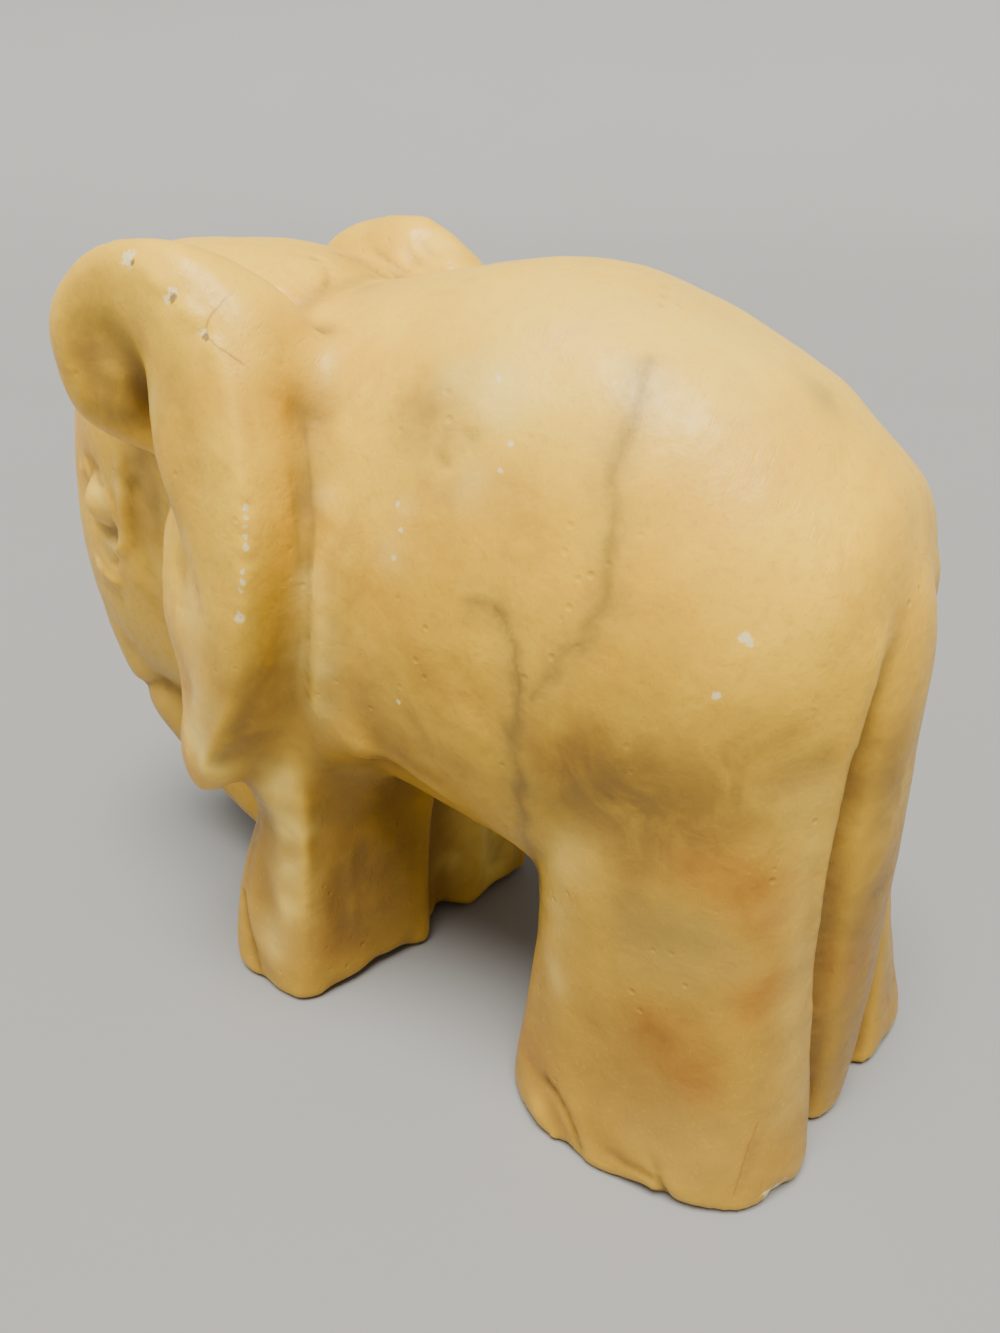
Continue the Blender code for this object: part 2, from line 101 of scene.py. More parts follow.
@dataclass(frozen=True)
class Layout:
    """The figure's own measure: steps of its height, counted from its left hind heel."""

    step: float
    heel: float

    @classmethod
    def from_frame(cls) -> Layout:
        """Read the step and the heel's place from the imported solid's box."""
        low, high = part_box(NODE)
        height = high[2] - low[2]
        return cls(step=height / STEPS_TALL, heel=height * HEEL_FORE / STEPS_TALL)

    def at(self, place: Place) -> Vector:
        """The place in the frame, in metres."""
        side, fore, up = place
        return Vector((side * self.step, self.heel - fore * self.step, up * self.step))

    def curve(self, path: Path, samples: int = 12) -> np.ndarray:
        """A smooth curve through the path's places.

        Args:
            path: Places that the curve passes.
            samples: Points from one place to the next.

        Returns:
            The curve's points in the frame, in metres.
        """
        places = [np.array(self.at(place)) for place in path]
        if len(places) == 1:
            return np.array(places)
        full = [2 * places[0] - places[1], *places, 2 * places[-1] - places[-2]]
        points = []
        for a, b, c, d in zip(full, full[1:], full[2:], full[3:]):
            for sample in range(samples):
                t = sample / samples
                points.append(0.5 * (2 * b + (c - a) * t + (2 * a - 5 * b + 4 * c - d) * t * t
                                     + (3 * b - a - 3 * c + d) * t ** 3))
        points.append(places[-1])
        return np.array(points)


class Skin:
    """The stone's surface while it is worked: moves its points and keeps what lies near them."""

    def __init__(self, piece: bpy.types.Object, layout: Layout) -> None:
        self.piece = piece
        self.layout = layout
        self.refresh()

    def refresh(self) -> None:
        """Read the surface again after its points have moved."""
        mesh = self.piece.data
        mesh.update()
        self.points = self.read(mesh.vertices, "co", 3)
        self.normals = self.read(mesh.vertex_normals, "vector", 3)
        self.edges = self.read(mesh.edges, "vertices", 2, np.int64)
        self.moves = np.zeros(len(mesh.vertices))
        self.tree = BVHTree.FromPolygons(
            [Vector(point) for point in self.points],
            [tuple(face.vertices) for face in mesh.polygons],
        )

    @staticmethod
    def read(source: bpy.types.bpy_prop_collection, name: str, width: int, kind: type = float) -> np.ndarray:
        """The named values of the mesh's points or edges, one row for each."""
        values = np.empty(len(source) * width, dtype=kind)
        source.foreach_get(name, values)
        return values.reshape(-1, width)

    def write(self) -> None:
        """Put the moved points into the mesh."""
        self.piece.data.vertices.foreach_set("co", self.points.ravel())
        self.refresh()

    def commit(self) -> None:
        """Move the points along their normals by what the strokes have gathered."""
        self.points = self.points + self.normals * self.moves[:, None]
        self.write()

    def laid(self, curve: np.ndarray) -> np.ndarray:
        """The curve's points, each put on the nearest stone."""
        return np.array([self.tree.find_nearest(Vector(point))[0] for point in curve])

    def near(self, points: np.ndarray, reach: float) -> np.ndarray:
        """Indices of the surface's points in the box around the given ones, wider by reach."""
        low, high = points.min(axis=0) - reach, points.max(axis=0) + reach
        return np.nonzero(np.all((self.points > low) & (self.points < high), axis=1))[0]

    def stroke(self, path: Path, width: float, depth: float, cut: Cut = Cut.GOUGE,
               ends: tuple[float, float] = (0.25, 0.25)) -> None:
        """Cut along a path laid on the stone, or raise the stone where depth is negative.

        Args:
            path: Places that the tool passes.
            width: Half width of the mark, steps.
            depth: Depth of the mark, steps.
            cut: Cross-section of the mark.
            ends: Shares of the path over which the mark begins and ends.
        """
        step = self.layout.step
        curve = self.laid(self.layout.curve(path))
        count = len(curve)
        chosen = self.near(curve, 3.0 * width * step)
        strength = np.zeros(len(chosen))
        for index, point in enumerate(curve):
            along = index / max(1, count - 1)
            share = 1.0
            if count > 1:
                share = min(1.0, STROKE_TIP + along / ends[0], STROKE_TIP + (1.0 - along) / ends[1])
            across = np.linalg.norm(self.points[chosen] - point, axis=1) / (width * step)
            mark = np.exp(-across ** 2) if cut is Cut.GOUGE else np.exp(-KEEN_FALL * across)
            strength = np.maximum(strength, share * mark)
        self.moves[chosen] -= depth * step * strength

    def both(self, path: Path, width: float, depth: float, cut: Cut = Cut.GOUGE,
             ends: tuple[float, float] = (0.25, 0.25), back: float = 0.0) -> None:
        """Make the same stroke on the left and on the right.

        Args:
            path: Places that the tool passes on the left.
            width: Half width of the mark, steps.
            depth: Depth of the mark, steps.
            cut: Cross-section of the mark.
            ends: Shares of the path over which the mark begins and ends.
            back: How much further back the right mark lies, steps.
        """
        self.stroke(path, width, depth, cut, ends)
        right = [(-side, fore - back, up) for side, fore, up in path]
        self.stroke(right, width, depth, cut, ends)

    def swell(self, place: Place, radii: tuple[float, float], height: float, crisp: float = 1.0) -> None:
        """Raise an oval dome on the stone, or sink it where height is negative.

        Args:
            place: Its middle.
            radii: Half its width and half its height, steps.
            height: Height of the dome, steps.
            crisp: How sharply its foot meets the stone, from 0.5 to 2.
        """
        step = self.layout.step
        middle, normal, _, _ = self.tree.find_nearest(self.layout.at(place))
        normal = Vector(normal).normalized()
        upright = Vector((0.0, 0.0, 1.0))
        upright = (upright - normal * upright.dot(normal)).normalized()
        across = upright.cross(normal)
        chosen = self.near(np.array([middle]), 1.3 * max(radii) * step)
        offset = self.points[chosen] - np.array(middle)
        wide = offset @ np.array(across) / (radii[0] * step)
        tall = offset @ np.array(upright) / (radii[1] * step)
        deep = offset @ np.array(normal) / (max(radii) * step)
        share = np.clip(1.0 - wide ** 2 - tall ** 2 - 0.5 * deep ** 2, 0.0, 1.0)
        self.moves[chosen] += height * step * share ** (1.0 / crisp)

    def swell_both(self, place: Place, radii: tuple[float, float], height: float, crisp: float = 1.0) -> None:
        """The same dome on both sides."""
        for side in SIDES:
            self.swell((side * place[0], place[1], place[2]), radii, height, crisp)

    def plane(self, place: Place, facing: Place, reach: float, lower: float = 0.0, tall: float = 1.0) -> None:
        """Cut a flat facet: what stands above the plane within reach is taken down to it.

        Args:
            place: A place on the facet.
            facing: Direction that the facet faces, as side, fore and up.
            reach: Radius of the facet, steps.
            lower: How far under the stone at the place the plane lies, steps.
            tall: How many times further the facet reaches up and down.
        """
        step = self.layout.step
        middle = Vector(self.tree.find_nearest(self.layout.at(place))[0])
        normal = Vector((facing[0], -facing[1], facing[2])).normalized()
        middle = np.array(middle - normal * lower * step)
        chosen = self.near(np.array([middle]), max(1.0, tall) * reach * step)
        offset = self.points[chosen] - middle
        height = offset @ np.array(normal)
        away = np.linalg.norm(offset / np.array([1.0, 1.0, tall]), axis=1) / (reach * step)
        facing_it = self.normals[chosen] @ np.array(normal) > 0.2
        share = np.clip((1.0 - away) / 0.85, 0.0, 1.0)
        share = share * share * (3.0 - 2.0 * share)
        cutting = np.where((height > 0.0) & facing_it, height * share, 0.0)
        self.points[chosen] -= np.array(normal)[None, :] * cutting[:, None]

    def melt(self, place: Place, reach: float, passes: int) -> None:
        """Soften the stone around a place, most in its middle.

        Args:
            place: The middle.
            reach: Radius of what softens, steps.
            passes: How often each point moves halfway to the mean of its neighbours.
        """
        middle = np.array(self.layout.at(place))
        away = np.linalg.norm(self.points - middle, axis=1) / (reach * self.layout.step)
        share = np.clip(1.0 - away ** 2, 0.0, 1.0)[:, None]
        edges = self.edges[(share[self.edges[:, 0], 0] > 0.0) | (share[self.edges[:, 1], 0] > 0.0)]
        ends = np.concatenate([edges[:, 0], edges[:, 1]])
        others = np.concatenate([edges[:, 1], edges[:, 0]])
        chosen, places = np.unique(ends, return_inverse=True)
        counts = np.bincount(places)[:, None]
        for _ in range(passes):
            sums = [np.bincount(places, self.points[others, axis]) for axis in range(3)]
            mean = np.stack(sums, axis=1) / counts
            self.points[chosen] += 0.5 * share[chosen] * (mean - self.points[chosen])

    def soften(self, *spots: Melt) -> None:
        """Melt the stone around spots on both sides, and put it into the mesh.

        Args:
            spots: Side, fore and up of each one, its reach in steps, and its passes.
        """
        for side, fore, up, reach, passes in spots:
            for mirror in SIDES:
                self.melt((mirror * side, fore, up), reach, passes)
        self.write()

    def across(self, path: Path, reach: float) -> tuple[np.ndarray, np.ndarray]:
        """How far each point lies to one side or the other of a line that runs over the stone.

        Args:
            path: Places that the line passes.
            reach: Distance at which the line's strength has gone to nothing, steps.

        Returns:
            The signed distance in steps, and the strength from 0 to 1.
        """
        step = self.layout.step
        curve = self.laid(self.layout.curve(path, 8))
        runs = np.gradient(curve, axis=0)
        runs /= np.linalg.norm(runs, axis=1)[:, None]
        chosen = self.near(curve, reach * step)
        aside = np.full(len(self.points), reach)
        strength = np.zeros(len(self.points))
        gaps = self.points[chosen][:, None, :] - curve[None, :, :]
        nearest = np.argmin((gaps ** 2).sum(axis=2), axis=1)
        gap = gaps[np.arange(len(chosen)), nearest]
        run = runs[nearest]
        along = (gap * run).sum(axis=1)
        flat = gap - run * along[:, None]
        turn = np.cross(self.normals[chosen], run)
        sign = np.where((flat * turn).sum(axis=1) < 0.0, -1.0, 1.0)
        away = np.linalg.norm(flat, axis=1) / step
        beyond = np.linalg.norm(gap, axis=1) / step
        aside[chosen] = sign * away
        over = np.where((nearest == 0) | (nearest == len(curve) - 1), np.abs(along) / step, 0.0)
        strength[chosen] = (np.clip(1.2 - over / 2.5, 0.0, 1.0)
                            * np.clip(2.0 * (1.0 - beyond / reach), 0.0, 1.0))
        return aside, strength

    def keep(self, name: str, values: np.ndarray) -> None:
        """Keep four values for each point as an attribute of the mesh."""
        attribute = self.piece.data.color_attributes.new(name, "FLOAT_COLOR", "POINT")
        attribute.data.foreach_set("color", values.ravel())

    def waver(self, size: float, height: float, seed: float) -> None:
        """Leave the uneven surface of hand work.

        Args:
            size: About how long its waves are, steps.
            height: How high they are, steps.
            seed: Picks the pattern.
        """
        step = self.layout.step
        shift = Vector((seed, 2.0 * seed, 3.0 * seed))
        scale = 1.0 / (size * step)
        values = [noise.noise(Vector(point) * scale + shift) for point in self.points]
        self.moves += np.array(values) * height * step


@dataclass
class EarWork:
    """Finer cuts of the two ears: folds, rims, root creases and the standing lobes."""

    root_depth: float = 0.5
    fold_depth: float = 1.1
    rim_height: float = 0.65
    wrinkle_depth: float = 0.16

    def work(self, skin: Skin) -> None:
        """Cut both ears."""
        roots = ((37, 93, 104), (37.5, 94, 92), (37.5, 95, 82), (37.5, 95, 74), (36.5, 93, 118),
                 (35.5, 93, 130))
        skin.soften(*((*root, 8.5, 26) for root in roots))
        skin.swell_both((42, 134.5, 140), (7.5, 9), 0.5)
        rim = [(44.5, 124, 162), (45, 132, 160.5), (45, 139, 156.5), (45, 142, 149), (44.5, 141, 140),
               (43.5, 139, 134), (40, 135, 130.5)]
        skin.both(rim, 1.5, -0.35, ends=(0.3, 0.1))
        skin.both([(40, 92, 112), (39, 94, 104), (38, 96, 92), (37, 99, 83), (37, 102, 76)], 4.5, -1.8,
                  ends=(0.3, 0.3))
        skin.both([(43, 130, 146), (41.5, 131.5, 139), (40.5, 133, 134)], 5.0, -2.3, ends=(0.4, 0.2))
        skin.commit()
        skin.soften((39, 94.5, 100, 8, 22), (38, 97, 88, 8, 22), (37, 100, 78, 7, 22))
        root = [(33, 98, 152), (35, 94, 141), (37, 92, 129), (38, 90.5, 119), (39, 91, 106), (39, 92.5, 94),
                (38, 95, 82), (38, 97, 73)]
        skin.both(root, 1.0, self.root_depth, Cut.KEEN, (0.2, 0.1))
        for side, fore, low, high in ((41, 93, 98, 134), (43.5, 93, 92, 138), (46, 93.5, 100, 130),
                                      (48, 94, 104, 126)):
            wrinkle = [(side, fore, high), (side + 0.5, fore, (low + high) / 2), (side + 1, fore + 2, low)]
            skin.both(wrinkle, 0.9, self.wrinkle_depth, ends=(0.4, 0.4))
        lip = [(39.5, 88.5, 116), (39.5, 88.5, 104), (39, 90, 93), (38.5, 92.5, 82), (38, 94.5, 74)]
        skin.both(lip, 1.3, -0.75, ends=(0.3, 0.1))
        flap_edge = [(45.5, 121, 143), (45.5, 121, 134), (45.5, 119.5, 126), (46, 116, 118), (47, 111.5, 109)]
        skin.both(flap_edge, 1.0, -0.45, ends=(0.2, 0.3))
        behind_edge = [(42.5, 124.5, 141), (42, 124.5, 133), (41.5, 123.5, 126), (42, 120.5, 118),
                       (44.5, 115, 110)]
        skin.both(behind_edge, 1.8, self.fold_depth, Cut.KEEN, (0.2, 0.3))
        skin.both([(40, 128, 141), (38.5, 127, 135), (37, 127, 129)], 2.6, 1.0, ends=(0.5, 0.1))
        face_ridge = [(49, 101, 140), (50, 101, 133), (50.5, 102, 127), (51, 104, 120), (50, 107, 112)]
        skin.both(face_ridge, 1.2, -0.25, ends=(0.3, 0.4))
        skin.both([(46, 118, 150), (47, 111, 143), (48, 106, 134), (49, 104, 124), (49.5, 105, 114)],
                  5.0, 0.6, ends=(0.4, 0.4))
        back_ridge = [(44, 124, 162.5), (45, 118, 160), (45.2, 112.3, 156.5), (45.2, 105.3, 151.3),
                      (46.5, 100, 144), (48.5, 97, 137), (50, 95.5, 130), (51, 95, 122), (51.5, 95.5, 114),
                      (52, 97, 106), (51.5, 99.5, 97)]
        skin.both(back_ridge, 1.5, -self.rim_height, ends=(0.15, 0.2))
        skin.both([(36, 95, 146), (39, 93, 135), (40, 92.5, 124), (41, 93, 112)], 2.2, 0.35, ends=(0.4, 0.3))
        skin.commit()
        skin.soften((29.5, 93, 144, 9, 60))

    def tips(self, skin: Skin) -> None:
        """Facet the hanging tips and the triangular faces in front of them."""
        for side in SIDES:
            skin.plane((side * 48, 112, 69), (side * 0.75, -0.45, -0.5), 8, 0.5)
            skin.plane((side * 43.5, 120, 104), (side * 0.86, 0.45, 0.2), 9, 0.4)
            skin.plane((side * 43, 123, 84), (side * 0.9, 0.4, -0.05), 10, 0.3)
        skin.write()
        skin.both([(41, 129, 97), (43, 122, 98), (46, 114, 99)], 0.9, 0.3, Cut.KEEN, (0.3, 0.5))
        skin.both([(47.5, 117.5, 62), (48, 114, 69), (49, 108, 78), (50, 103, 86)],
                  1.5, -0.8, ends=(0.1, 0.3))
        skin.both([(46, 108, 65), (48, 104.5, 74), (49, 99.5, 84)], 3.0, 0.9, ends=(0.2, 0.4))
        skin.both([(45, 121, 62), (44.5, 123, 70), (43.5, 126, 78)], 1.4, -0.4, ends=(0.2, 0.3))
        front = [(40, 131, 108), (40.5, 132, 101), (40.5, 132, 92), (42, 128, 83), (42.5, 127, 77),
                 (42.5, 128, 68)]
        skin.both(front, 1.1, -0.4, ends=(0.2, 0.2))
        skin.commit()


@dataclass
class HeadWork:
    """The eyes with their lids and wrinkles, the cheeks, the crown's folds and the trunk's fold."""

    eye_height: float = 1.9
    lid_height: float = 0.6

    def work(self, skin: Skin) -> None:
        """Cut both sides of the face."""
        skin.swell_both((25, 166, 105), (7.5, 14), -1.1, 1.6)
        skin.commit()
        skin.both([(29, 153.5, 118), (28.5, 154.5, 111), (27, 157.5, 103), (25.5, 161, 96), (24, 164.5, 88)],
                  1.5, -0.6, ends=(0.2, 0.3))
        skin.both([(29, 151, 121), (28, 152.5, 115), (26.5, 156, 101), (25.3, 161.5, 96.5), (24, 166, 95.5)],
                  1.2, -1.0, ends=(0.2, 0.2))
        skin.swell_both((26.3, 163.5, 107), (6.6, 6.2), self.eye_height, 1.4)
        skin.swell_both((24, 169.8, 114), (2.4, 2.6), 0.65)
        skin.swell_both((22, 174, 113), (2, 2), 0.6, 1.2)
        skin.commit()
        lid = [(27.5, 158.5, 110), (27, 161, 113.5), (25.5, 165, 113.5), (24, 168.5, 110)]
        skin.both(lid, 0.9, -self.lid_height, ends=(0.3, 0.3))
        skin.both([(28, 159.5, 106), (27, 161, 101.5), (25, 165, 100), (23.5, 168.5, 103)],
                  1.0, 0.25, Cut.KEEN)
        skin.both([(22.5, 172, 98.5), (24, 166.5, 97), (25, 162.5, 98.5)], 1.5, -0.5)
        skin.both([(22.5, 171, 93.5), (24, 166, 92.5), (24.5, 163.5, 94)], 1.0, 0.5, Cut.KEEN)
        skin.both([(20, 176, 91.5), (22.5, 170, 88), (23.5, 164.5, 87.5)], 0.95, -1.1)
        skin.both([(20, 175, 84), (22, 170, 82), (23, 166, 83)], 1.2, 0.3)
        skin.both([(31, 146, 117), (29.5, 151, 114), (29, 154, 116)], 2.6, 0.7)
        skin.commit()
        fold = [(-13, 168, 57), (-9, 178, 53), (0, 184, 51), (9, 178, 53), (13, 168, 57)]
        skin.stroke(fold, 1.4, 1.0, Cut.KEEN)
        skin.commit()

    def crown(self, skin: Skin) -> None:
        """Cut the folds where the neck meets the ears and the hollow of the standing right ear."""
        skin.both([(8, 122, 160), (4, 116, 159), (7, 110, 157), (13, 107, 156)], 1.2, 0.7, Cut.KEEN)
        skin.both([(31, 130, 159), (27, 120, 156), (26, 113, 154)], 1.2, 0.6, Cut.KEEN)
        skin.both([(24, 124, 156), (19, 115, 157), (17, 108, 156)], 1.6, -0.5)
        skin.swell((-31, 113.5, 158.5), (6.5, 6), -1.4, 1.1)
        skin.swell((-35, 124, 162), (9, 8), 1.1, 0.8)
        skin.stroke([(-27, 108, 156), (-29, 116, 160), (-34, 120, 162)], 1.2, -0.5)
        skin.commit()


@dataclass
class LegWork:
    """The legs' facets and edges, the toenails, and the creases beside the tail."""

    right_hind_back: float = 8.5
    right_front_back: float = 4.0

    def front(self, skin: Skin) -> None:
        """Facet the front columns."""
        skin.soften((36, 98, 69, 13, 90), (34, 95, 63, 9, 40))
        for side, back in ((1.0, 0.0), (-1.0, self.right_front_back)):
            skin.plane((side * 31, 97 - back, 40), (side * 0.36, -0.93, -0.02), 13, 0.5, 3.6)
            skin.plane((side * 16, 92 - back, 38), (side * 0.13, -0.99, -0.02), 13, 0.4, 3.4)
            skin.plane((side * 36.5, 112 - back, 34), (side * 0.95, 0.30, 0.02), 11, 0.3, 2.6)
            skin.melt((side * 24, 95 - back, 54), 11, 60)
            skin.melt((side * 24, 96 - back, 40), 10, 40)
        skin.write()
        for path, width, depth, cut, ends in (
            ([(38.5, 101, 70), (36, 101.5, 52), (36.5, 103, 34), (37, 104.5, 14)],
             1.6, -0.6, Cut.GOUGE, (0.3, 0.2)),
            ([(26, 97.5, 46), (25, 99.5, 26), (25, 99.5, 12)], 1.4, -0.3, Cut.GOUGE, (0.3, 0.2)),
            ([(35, 116, 56), (34, 120, 44), (34, 122, 30), (35, 124, 20)], 2.2, 0.5, Cut.GOUGE, (0.3, 0.2)),
            ([(33, 125, 24), (35.5, 124, 19), (36.5, 122, 11), (36.5, 119.5, 2)],
             1.4, 1.5, Cut.KEEN, (0.2, 0.05)),
            ([(26, 131, 12), (25, 132, 6), (25, 132, 1)], 1.1, 0.7, Cut.KEEN, (0.3, 0.05)),
            ([(14, 132, 12), (13, 133, 6), (13, 133, 1)], 1.1, 0.7, Cut.KEEN, (0.3, 0.05)),
        ):
            skin.both(path, width, depth, cut, ends, self.right_front_back)
        skin.commit()

    def hind(self, skin: Skin) -> None:
        """Cut the toenails of the hind feet and the lip beside the tail."""
        nail = [(36.5, 44, 10.5), (38, 40, 11.5), (40.5, 35.5, 9.5), (42, 32.5, 5.5), (42, 30.5, 1)]
        skin.both(nail, 1.2, 1.0, Cut.KEEN, (0.15, 0.1), self.right_hind_back)
        skin.both([(39, 42.5, 4.5)], 3.6, -0.5, back=self.right_hind_back)
        second = [(42, 27, 7), (42, 22, 5.5), (42, 17, 5.5), (41.5, 13.5, 3.5), (42, 13, 0.5)]
        skin.both(second, 1.4, 0.8, Cut.KEEN, (0.4, 0.05), self.right_hind_back)
        skin.both([(41, 17.5, 11), (41.3, 15, 7.5), (42, 13, 2.5)], 1.0, 0.6, Cut.KEEN, (0.5, 0.05),
                  self.right_hind_back)
        thigh = [(40, 48, 69), (39, 38, 75), (38.5, 28, 77), (37.5, 16, 79), (33.5, 7, 82)]
        skin.both(thigh, 8.5, 1.0, ends=(0.3, 0.3))
        skin.both([(38, 27, 57), (38, 20, 56), (37, 13, 55)], 7.0, 0.5, ends=(0.5, 0.5))
        third = [(29, -1, 21), (33, 0, 15), (35.5, 0.5, 9), (36.5, 2, 3)]
        skin.both(third, 1.2, 0.22, ends=(0.4, 0.3), back=self.right_hind_back)
        hind_edge = [(24, -4, 103), (23.5, -3, 92), (22.5, -2.5, 76), (21, -3, 56), (19.5, -4, 37),
                     (20, -5, 18)]
        skin.both(hind_edge, 1.6, -0.4, ends=(0.3, 0.2))
        crease = [(17.5, -6, 108), (16.5, -4, 98), (16.5, -2, 84), (16, -1, 68), (15.5, -2, 46), (14, -3, 24),
                  (12, -5, 2)]
        skin.both(crease, 1.4, 1.2, Cut.KEEN, (0.25, 0.05))
        skin.commit()

    def belly(self, skin: Skin) -> None:
        """Undercut the belly behind the front legs, so that the flank ends in an edge."""
        skin.both([(34, 90, 70), (32.5, 82, 66), (30.5, 72, 60), (29, 62, 56), (28, 55, 55)], 4.5, 1.2,
                  ends=(0.2, 0.2))
        skin.both([(37.5, 88, 76), (35.5, 80, 72.5), (34, 71, 67.5), (32.5, 63, 63.5)],
                  1.8, -0.5, ends=(0.2, 0.3))
        skin.commit()


@dataclass
class Knocks:
    """Chips, bruises and pits, each as (side, fore, up, half width, depth)."""

    marks: tuple[Spot, ...] = (
        (44, 124, 162, 2, 0.35), (45.2, 112.3, 156.2, 1.6, 0.9), (45.2, 105.3, 151.2, 1.4, 0.8),
        (50.5, 94.3, 124, 1, 0.5), (51.2, 94.6, 119, 1, 0.5), (51.3, 95.3, 114.5, 1.1, 0.5),
        (52, 97, 107.5, 1, 0.4), (52, 98, 104, 1.1, 0.5), (30, -4.6, 2, 2, 0.9), (27.5, -6, 1.5, 1.6, 0.8),
        (42, 13, 1, 1.3, 0.8), (1, 42, 158, 0.9, 0.5), (5, 40, 158, 0.9, 0.4), (9, 39, 157, 0.8, 0.4),
        (20, 2, 129, 0.9, 0.3), (36, 64, 133, 1.6, 0.4), (35, 59, 137, 1.4, 0.35), (33.5, 69, 139, 1.8, 0.3),
    )

    bruise: Place = (33.0, 66.5, 140.0)
    bruise_dents: int = 34

    def work(self, skin: Skin) -> None:
        """Knock the marks into the stone, and roughen the bruised patch on the flank."""
        side, fore, up = self.bruise
        for index in range(self.bruise_dents):
            turn, out = GOLDEN_TURN * index, 0.7 + 1.55 * math.sqrt(index)
            dent = (side, fore + 1.15 * out * math.cos(turn), up + out * math.sin(turn))
            skin.stroke([dent], 0.8 + 0.25 * math.sin(5.0 * turn), 0.16 + 0.10 * math.cos(3.0 * turn))
        for side, fore, up, width, depth in self.marks:
            skin.stroke([(side, fore, up)], width, depth)
        skin.commit()


